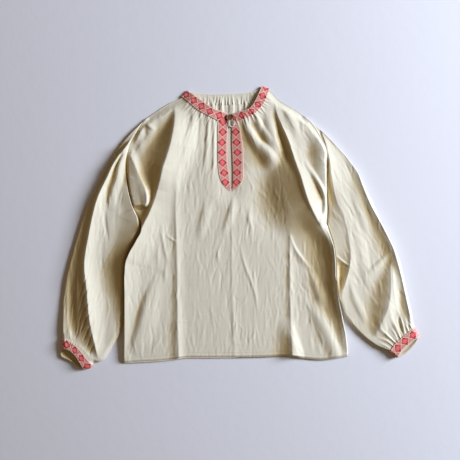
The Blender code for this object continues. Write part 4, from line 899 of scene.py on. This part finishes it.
def sleeve_height(xy, across, t, fullness, soft, sharp):
    """Upper face of a sleeve: a full tube with its folds, from the armhole seam to the cuff."""
    left = xy[0, 0, 0] < 0
    u = across[None, :]
    full = np.interp(t, *np.array(fullness).T)[:, None]
    width = np.linalg.norm(xy[:, -1] - xy[:, 0], axis=-1)[:, None]
    inner_rise = SLEEVE_RISE if left else SLEEVE_BELOW_RISE
    rise = np.sqrt(smooth(np.minimum(u * width / SLEEVE_RISE, (1 - u) * width / inner_rise)))
    folds = fold_heights(xy, soft) + fold_heights(xy, sharp, crease)
    inside = SLEEVE_EDGE + rise * (full - SLEEVE_EDGE + folds)
    seam, blend = seam_at(xy[0, :, 1], left)
    share = smooth(np.linalg.norm(xy - xy[0], axis=-1) / blend)
    return np.maximum(inside, SLEEVE_LEAST) * share + seam * (1 - share)


across = bunched(SLEEVE_ACROSS, SLEEVE_BUNCHING)
across_below = np.linspace(0, 1, SLEEVE_BELOW + 1)
sleeve_rings = {}
for name, side, edges, cuffs, fullness, soft, sharp in (
        ("left", 1, sleeve_edges(LEFT_EDGE, LEFT_UNDERARM, LEFT_SHOULDER, LEFT_OUTER,
                                 LEFT_INNER, 1), (LEFT_CUFF, LEFT_CUFF_BACK), LEFT_FULLNESS,
         LEFT_SLEEVE_FOLDS + LEFT_SPIKES + tuple(LEFT_SLEEVE_CREASES), LEFT_SLEEVE_PLEATS),
        ("right", -1, sleeve_edges(RIGHT_EDGE, RIGHT_UNDERARM, RIGHT_SHOULDER, RIGHT_OUTER,
                                   RIGHT_INNER, -1), (RIGHT_CUFF, RIGHT_CUFF_BACK),
         RIGHT_FULLNESS, RIGHT_SLEEVE_FOLDS + RIGHT_SPIKES + tuple(RIGHT_SLEEVE_CREASES),
         RIGHT_SLEEVE_PLEATS)):
    top, t = sleeve_plan(edges, cuffs[0], across)
    to_end = (1 - t) * lengths(edges[2])[-1]
    height = sleeve_height(top, across, t, fullness, soft, sharp)
    under = sleeve_plan(edges, cuffs[1], across_below)[0][:, ::-1]
    inward = under[:, -1] - under[:, 0]
    inward /= np.linalg.norm(inward, axis=-1, keepdims=True)
    under[:, 0] += SLEEVE_BELOW_INSET * inward
    under[:, -1] -= SLEEVE_BELOW_INSET * inward
    lift = RIBBON_LIFT * smooth((CUFF_REACH - to_end) / CUFF_LIFT_REACH)
    lift += CUFF_CURL * smooth((CUFF_CURL_REACH - to_end) / CUFF_CURL_REACH)
    lift = np.repeat(lift[:, None], under.shape[1], axis=1)
    lower = with_height(under, SLEEVE_WALL + SLEEVE_BELOW_SEAT + lift)
    rings = np.concatenate((with_height(top, height), lower), axis=1)
    sleeve_rings[name] = rings
    faces = grid_faces(*rings.shape[:2], wrap=True)
    if side == 1:
        faces = [face[::-1] for face in faces]
    lean = math.radians(SLEEVE_GRAIN[name])
    turn = np.array(((math.cos(lean), -math.sin(lean)), (math.sin(lean), math.cos(lean))))
    sleeve = add_piece("sleeve_of_" + name, rings.reshape(-1, 3), faces, cloth,
                       rings[..., :2].reshape(-1, 2) @ turn.T, painted_shade_of(rings, verts))
    walled(sleeve, SLEEVE_WALL)
    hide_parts("sleeve_" + name)
    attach(sleeve, "root")

# Ribbon: a narrow woven band, 22 mm wide, red lozenges between pale crossing lines. One length
# goes round the neck, folded over the shoulders' ends, and is sewn down along both edges.
THREAD = 1.1
THREAD_DEPTH = 0.05
REPEAT = 20
CORE, CORE_ENDS = 4.5, 4.5
LOZENGE, LATTICE, SELVEDGE = 9.2, 10.5, 8.5
RIBBON_WEAR, WEAR_SPOTS = 0.1, 900
PALE, EDGE, FLANK, DUSKY = ((0.95, 0.72, 0.62), (0.82, 0.46, 0.40), (0.74, 0.40, 0.35),
                            (0.42, 0.14, 0.12))
ROSE, RED, DARK = (0.78, 0.15, 0.16), (0.62, 0.06, 0.07), (0.26, 0.014, 0.018)
NECK_BAND_BACK = (
    (-106, 577), (-84, 566), (-60, 563), (-20, 562), (20, 564), (56, 568), (76, 577), (84, 592),
)
RIBBON_WALL = 0.6
RIBBON_SEAT = 0.1
RIBBON_ACROSS = 20
NECK_FOLD = 3.6
NECK_FOLD_STEP = 12
NECK_INSET = 0.02
NECK_POINTS = 101
NECK_BACK_POINTS = 150
NECK_RUN_ON = 20
NECK_PHASE = 9.0


def ribbon_material():
    """Woven repeat of 20 threads: a red lozenge in a pale lattice, on striped dusky rose."""
    made, tree, shader = cloth_shader("woven ribbon", 0.75, 0.05)
    place = tree.nodes.new("ShaderNodeUVMap")
    place.uv_map = "weave"
    apart = tree.nodes.new("ShaderNodeSeparateXYZ")
    tree.links.new(place.outputs[0], apart.inputs[0])
    threads = [maths(tree, "DIVIDE", out, THREAD * MM) for out in apart.outputs[:2]]
    across = maths(tree, "ABSOLUTE", maths(tree, "ROUND", threads[1]))
    row = maths(tree, "ABSOLUTE", maths(tree, "WRAP", maths(tree, "ROUND", threads[0]),
                                        REPEAT / 2, -REPEAT / 2))
    ring = maths(tree, "ADD", across, row)
    stripe = maths(tree, "MODULO", maths(tree, "ADD", across, 1.0), 2.0)
    flank = mixed(tree, stripe, DUSKY, FLANK)
    colour = mixed(tree, maths(tree, "GREATER_THAN", across, CORE_ENDS), RED, DARK)
    colour = mixed(tree, maths(tree, "LESS_THAN", ring, CORE), colour, ROSE)
    for what, beyond, shade in ((ring, LOZENGE, PALE), (ring, LATTICE, flank),
                                (across, SELVEDGE, EDGE)):
        colour = mixed(tree, maths(tree, "GREATER_THAN", what, beyond), colour, shade)
    worn = noise(tree, place.outputs[0], WEAR_SPOTS, WEAR_SPOTS, 1.0)
    colour = mixed(tree, maths(tree, "MULTIPLY", worn, RIBBON_WEAR), colour, PALE)
    tree.links.new(colour, shader.inputs["Base Color"])
    turn = 2 * math.pi
    ribs = [maths(tree, "COSINE", maths(tree, "MULTIPLY", thread, turn)) for thread in threads]
    relief(tree, maths(tree, "MULTIPLY", maths(tree, "ADD", *ribs), THREAD_DEPTH * MM), shader)
    return made


ribbon = ribbon_material()


def woven(name, node, points, uv, top):
    """Ribbon on a grid of points, turned so that its face number top looks up, with its wall."""
    piece = add_piece(name, points.reshape(-1, 3), grid_faces(*points.shape[:2]), ribbon,
                      uv.reshape(-1, 2))
    if piece.data.polygons[top].normal.z < 0:
        piece.data.flip_normals()
    walled(piece, RIBBON_WALL)
    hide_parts(node)
    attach(piece, "root")
    return piece


def strip(inner, outer, places, name, node):
    """Ribbon between its two edges, with its pattern's own places."""
    shares = np.linspace(0, 1, RIBBON_ACROSS + 1)[:, None, None]
    points = outer + shares * (inner - outer)
    uv = places[0] + shares * (places[1] - places[0])
    return woven(name, node, points, uv, RIBBON_ACROSS * (points.shape[1] - 1) // 3)


def on_front(edge):
    """A ribbon's edge, sewn down on the front."""
    return with_height(edge, front_height(edge) + RIBBON_SEAT + RIBBON_WALL)


shares = np.linspace(0, 1, NECK_POINTS)
inner_runs, outer_runs = ([on_front(along(curve_through(table[::-1]), shares)) for table in pair]
                          for pair in ((NECK_LEFT, NECK_RIGHT), (NECK_BAND_LEFT, NECK_BAND_RIGHT)))
inset = np.linspace(NECK_INSET, 1 - NECK_INSET, NECK_BACK_POINTS)
back_edges = [with_height(along(curve_through(table), inset), np.full(len(inset), RIBBON_WALL))
              for table in (NECK_BACK, NECK_BAND_BACK)]
turns = []
for side, sense in ((0, 1), (1, -1)):
    ends = [runs[side][side - 1] for runs in (inner_runs, outer_runs)]
    fold = (ends[0] - ends[1])[:2]
    fold /= np.linalg.norm(fold)
    away = np.array((-fold[1], fold[0])) * sense
    top, low = (ends[0][2] + ends[1][2]) / 2, RIBBON_WALL
    rows = []
    for angle in np.radians(np.arange(NECK_FOLD_STEP, 181, NECK_FOLD_STEP)):
        drop = (top + low) / 2 + (top - low) / 2 * math.cos(angle)
        rows.append([(*(edge[:2] + NECK_FOLD * math.sin(angle) * away), drop) for edge in ends])
    rows = np.array(rows)[::sense]
    turns.append((rows[:, 0], rows[:, 1]))
inner = np.vstack((inner_runs[0], turns[0][0], back_edges[0], turns[1][0], inner_runs[1]))
outer = np.vstack((outer_runs[0], turns[0][1], back_edges[1], turns[1][1], outer_runs[1]))
centre = (inner + outer) / 2
run = np.concatenate(([0], np.cumsum(np.linalg.norm(np.diff(centre, axis=0), axis=1))))
places = []
for side, edge in ((-1, outer), (1, inner)):
    own = run.copy()
    for part in (slice(0, NECK_POINTS), slice(len(run) - NECK_POINTS, len(run))):
        line = np.column_stack((centre[part, :2], run[part]))
        line = np.vstack((2 * line[0] - line[NECK_RUN_ON], line,
                          2 * line[-1] - line[-1 - NECK_RUN_ON]))
        place = nearest(edge[part, :2], line[:, :2])[1] * (len(line) - 1)
        own[part] = np.interp(place, np.arange(len(line)), line[:, 2])
    places.append(np.column_stack((own - NECK_PHASE, np.full(len(run), side * RIBBON_WIDTH / 2))))
neck_ribbon = strip(inner, outer, places, "ribbon_of_neck", "neck_ribbon")

# The same ribbon down both sides of the slit, brought to a point below it. The left one is
# mitred at its top, to meet the neck's ribbon, and the right one runs under it.
PLACKET_LEFT = (
    (-29, 524.4, -8, 540), (-29.3, 513, -7.6, 519), (-29.5, 500, -7.4, 501),
    (-29.5, 470, -7.4, 470), (-29, 433, -6.9, 433), (-27.5, 416, -5.2, 416),
    (-24.5, 400, -3.6, 400), (-18, 386, -2.0, 386), (-9.5, 377, -1.8, 377),
    (-2.6, 371.5, -1.6, 371.5),
)
PLACKET_RIGHT = (
    (10, 517, 1.6, 517), (19.5, 507, 1.4, 507), (26, 471, 1.8, 471), (27.3, 433, 3.3, 433),
    (27.8, 410, 3.8, 410), (26, 396, 3.4, 396), (20, 386, 3.2, 386), (11, 377.5, 2.9, 377.5),
    (3.4, 371.5, 2.4, 371.5),
)
LOZENGES_LEFT = ((522, -18), (501, -18), (478, -20), (456, -20), (434, -19), (411, -15), (391, -13),
                 (368, -9))
LOZENGES_RIGHT = ((523, 11), (501, 10), (478, 12), (456, 14), (434, 14), (412, 13), (391, 12),
                  (368, 9))
for name, table, lozenges in (("left", PLACKET_LEFT, LOZENGES_LEFT),
                              ("right", PLACKET_RIGHT, LOZENGES_RIGHT)):
    table = np.array(table, dtype=float)
    outer, inner = (curve_through(table[:, k:k + 2]) for k in (0, 2))
    centres = np.array(lozenges, dtype=float)[::-1]
    steps = np.arange(len(centres)) * REPEAT * THREAD
    places = [np.column_stack((np.interp(edge[:, 1], centres[:, 0], steps),
                               edge[:, 0] - np.interp(edge[:, 1], centres[:, 0], centres[:, 1])))
              for edge in (outer, inner)]
    piece = strip(on_front(inner), on_front(outer), places, "ribbon_of_slit_" + name,
                  "placket_ribbon_" + name)

# The same ribbon round each wrist. It is sewn over the sleeve's gathered end, whose last few
# millimetres show past it.
CUFF_PHASE = 6.0
CUFF_LIFT = 0.9
CUFF_TOP_POINT = 20
for name, rings in sleeve_rings.items():
    band = rings[-CUFF_BAND_ROWS - 1:]
    middle_run = np.linalg.norm(np.diff(band.mean(0), axis=0, append=band.mean(0)[:1]), axis=1)
    around = np.concatenate(([0], np.cumsum(middle_run)))
    closed = np.concatenate((band, band[:, :1]), axis=1)
    down = np.gradient(closed, axis=0)
    round_it = np.gradient(closed, axis=1)
    out = np.cross(round_it, down)
    out /= np.linalg.norm(out, axis=-1, keepdims=True) + 1e-9
    out[:, 0] = out[:, -1] = (out[:, 0] + out[:, -1]) / 2
    if (out[:, CUFF_TOP_POINT, 2] < 0).all():
        out = -out
    closed = closed + out * (CUFF_LIFT + RIBBON_WALL)
    closed[..., 2] = np.maximum(closed[..., 2], RIBBON_WALL)
    across = np.linspace(-RIBBON_WIDTH / 2, RIBBON_WIDTH / 2, len(band))[:, None]
    uv = np.stack(np.broadcast_arrays(around[None, :] + CUFF_PHASE, across), axis=-1)
    piece = woven("ribbon_of_cuff_" + name, "cuff_ribbon_" + name, closed, uv, CUFF_TOP_POINT)

# Button: a small round of dark brown horn or wood, dished inside its rim, with four holes. It
# stands on its thread at the top of the left ribbon.
BUTTON_PLACE = (-3.4, 532.5)
BUTTON_RADIUS = 6.2
BUTTON_THICKNESS = 2.6
BUTTON_RIM = 1.5
BUTTON_DISH = 0.8
BUTTON_SHANK = 1.3
BUTTON_EDGE = 0.5
BUTTON_SIDES = 40
HOLES = 4
HOLE_RADIUS = 0.65
HOLE_OFF = 1.35
HOLE_TURN = 20
HOLE_SIDES = 12
HORN_DARK = (0.085, 0.040, 0.016)
HORN_LIGHT = (0.20, 0.105, 0.045)
HORN_ROUGHNESS = 0.42


def grained(tree, shader, spots, detail, colours, depth):
    """Two-coloured grain of this many spots a metre, which also stands up by its depth."""
    place = tree.nodes.new("ShaderNodeTexCoord").outputs["Object"]
    grain = noise(tree, place, *spots, detail)
    value_of(tree, mixed(tree, grain, *colours), shader.inputs["Base Color"])
    relief(tree, maths(tree, "MULTIPLY", grain, depth * MM), shader)


seat = float(front_height(np.array([[BUTTON_PLACE]]))[0, 0]) + RIBBON_WALL + BUTTON_SHANK
bpy.ops.object.select_all(action="DESELECT")
bpy.ops.mesh.primitive_cylinder_add(vertices=BUTTON_SIDES, radius=BUTTON_RADIUS * MM,
                                    depth=BUTTON_THICKNESS * MM)
button = bpy.context.object
button.name = "button_of_slit"
bpy.ops.object.mode_set(mode="EDIT")
bpy.ops.mesh.select_mode(type="FACE")
bpy.ops.mesh.select_all(action="DESELECT")
bpy.ops.object.mode_set(mode="OBJECT")
for face in button.data.polygons:
    face.select = face.normal.z > 0.9
bpy.ops.object.mode_set(mode="EDIT")
bpy.ops.mesh.inset(thickness=BUTTON_RIM * MM)
bpy.ops.transform.translate(value=(0, 0, -BUTTON_DISH * MM))
bpy.ops.object.mode_set(mode="OBJECT")
for k in range(HOLES):
    turn = math.radians(360 / HOLES * k + HOLE_TURN)
    bpy.ops.object.select_all(action="DESELECT")
    bpy.ops.mesh.primitive_cylinder_add(
        vertices=HOLE_SIDES, radius=HOLE_RADIUS * MM, depth=4 * BUTTON_THICKNESS * MM,
        location=(HOLE_OFF * math.cos(turn) * MM, HOLE_OFF * math.sin(turn) * MM, 0))
    drill = bpy.context.object
    bpy.ops.object.select_all(action="DESELECT")
    button.select_set(True)
    bpy.context.view_layer.objects.active = button
    hole = button.modifiers.new("hole", "BOOLEAN")
    hole.operation = "DIFFERENCE"
    hole.object = drill
    bpy.ops.object.modifier_apply(modifier=hole.name)
    bpy.data.objects.remove(drill)
rounding = button.modifiers.new("edge", "BEVEL")
rounding.width = BUTTON_EDGE * MM
rounding.segments = 3
rounding.limit_method = "ANGLE"
bpy.ops.object.modifier_apply(modifier=rounding.name)
button.location = (np.array((*BUTTON_PLACE, seat + BUTTON_THICKNESS / 2)) - MIDDLE) * MM
bpy.ops.object.transform_apply(location=True, rotation=True, scale=True)
bpy.ops.object.shade_smooth_by_angle(angle=math.radians(40))
horn = bpy.data.materials.new("brown horn")
horn.use_nodes = True
shader = horn.node_tree.nodes["Principled BSDF"]
shader.inputs["Roughness"].default_value = HORN_ROUGHNESS
grained(horn.node_tree, shader, (1400, 260), 3.0, (HORN_DARK, HORN_LIGHT), 0.04)
button.data.materials.append(horn)
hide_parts("button")
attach(button, "root")

# Button thread: brown linen thread, sewn crosswise through the four holes and wound three
# times under the button into a short shank that stands on the left ribbon.
STITCH_RADIUS = 0.42
STITCH_RISE = 1.15
SHANK_TURNS = 3
SHANK_RADIUS = 0.75
SHANK_TILT, SHANK_STEP = 4, 70
THREAD_FUZZ = (2600, 2600)
THREAD_FUZZ_HEIGHT = 0.06
THREAD_BROWN = (0.12, 0.065, 0.032)
THREAD_BROWN_LIGHT = (0.22, 0.13, 0.07)

bpy.ops.object.select_all(action="DESELECT")
stitches = []
for high, size, tilt, turn in (
        [(STITCH_RISE, HOLE_OFF, 90, HOLE_TURN + cross) for cross in (0, 90)]
        + [((k + 0.5 - SHANK_TURNS) * BUTTON_SHANK / SHANK_TURNS, SHANK_RADIUS, SHANK_TILT,
            SHANK_STEP * k) for k in range(SHANK_TURNS)]):
    bpy.ops.mesh.primitive_torus_add(
        major_segments=32, minor_segments=12, major_radius=size * MM,
        minor_radius=STITCH_RADIUS * MM, rotation=(math.radians(tilt), 0, math.radians(turn)),
        location=(np.array((*BUTTON_PLACE, seat + high)) - MIDDLE) * MM)
    stitches.append(bpy.context.object)
for stitch in stitches:
    stitch.select_set(True)
bpy.ops.object.join()
wound = bpy.context.object
wound.name = "thread_of_button"
bpy.ops.object.transform_apply(location=True, rotation=True, scale=True)
bpy.ops.object.shade_smooth()
linen, tree, shader = cloth_shader("brown thread", 0.8, 0.1)
grained(tree, shader, THREAD_FUZZ, 2.0, (THREAD_BROWN, THREAD_BROWN_LIGHT), THREAD_FUZZ_HEIGHT)
wound.data.materials.append(linen)
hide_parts("button")
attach(wound, "root")

# Button loop: two strands of white thread twisted together, sewn into the top of the right
# ribbon. It reaches left, under the button's edge.
LOOP_MIDDLE = (1.2, 520.5)
LOOP_HALF_WIDTH = 5.6
LOOP_HALF_LENGTH = 8.4
LOOP_OPENING = 50.0
LOOP_TURNS = 9
LOOP_STEPS = 14
LOOP_POINTS = 200
LOOP_SAG = 1.5
STRAND_RADIUS = 0.7
STRAND_SIDES = 10
LOOP_RISE = 1.7
THREAD_PALE = (0.88, 0.85, 0.77)
THREAD_DULL = (0.66, 0.62, 0.52)

bpy.ops.object.select_all(action="DESELECT")
bpy.ops.mesh.primitive_circle_add(vertices=STRAND_SIDES, radius=STRAND_RADIUS * MM,
                                  location=(STRAND_RADIUS * MM, 0, 0), rotation=(math.pi / 2, 0, 0))
loop = bpy.context.object
loop.name = "loop_of_button"
bpy.ops.object.transform_apply(location=True, rotation=True, scale=True)
bpy.ops.object.mode_set(mode="EDIT")
bpy.ops.mesh.select_all(action="SELECT")
bpy.ops.mesh.duplicate()
bpy.ops.transform.rotate(value=math.pi, orient_axis="Z")
bpy.ops.transform.translate(value=(-2 * STRAND_RADIUS * MM, 0, 0))
bpy.ops.object.mode_set(mode="OBJECT")
arc = np.radians(np.linspace(90 + LOOP_OPENING, 450 - LOOP_OPENING, LOOP_POINTS))
path = np.column_stack((LOOP_MIDDLE[0] + LOOP_HALF_WIDTH * np.cos(arc),
                        LOOP_MIDDLE[1] + LOOP_HALF_LENGTH * np.sin(arc)))
twist = loop.modifiers.new("twist", "SCREW")
twist.angle = 2 * math.pi * LOOP_TURNS
twist.screw_offset = lengths(path)[-1] * MM
twist.steps = twist.render_steps = LOOP_STEPS * LOOP_TURNS
twist.use_smooth_shade = True
bpy.ops.object.modifier_apply(modifier=twist.name)
own = np.array([vert.co[:] for vert in loop.data.vertices]) / MM
centre = at_length(path, own[:, 2])
ahead = at_length(path, own[:, 2] + 0.05) - at_length(path, own[:, 2] - 0.05)
ahead /= np.linalg.norm(ahead, axis=1, keepdims=True)
outward = np.column_stack((ahead[:, 1], -ahead[:, 0]))
base = front_height(path[None])[0]
base = np.interp(own[:, 2], lengths(path), np.maximum(base, base.max() - LOOP_SAG)) + RIBBON_WALL
placed = np.column_stack((centre + own[:, :1] * outward, base + LOOP_RISE + own[:, 1]))
for vert, spot in zip(loop.data.vertices, (placed - MIDDLE) * MM):
    vert.co = spot
bpy.ops.object.mode_set(mode="EDIT")
bpy.ops.mesh.select_all(action="SELECT")
bpy.ops.mesh.normals_make_consistent(inside=False)
bpy.ops.object.mode_set(mode="OBJECT")
thread, tree, shader = cloth_shader("white thread", 0.85, 0.15)
grained(tree, shader, THREAD_FUZZ, 2.0, (THREAD_PALE, THREAD_DULL), THREAD_FUZZ_HEIGHT)
loop.data.materials.append(thread)
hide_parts("button_loop")
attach(loop, "root")
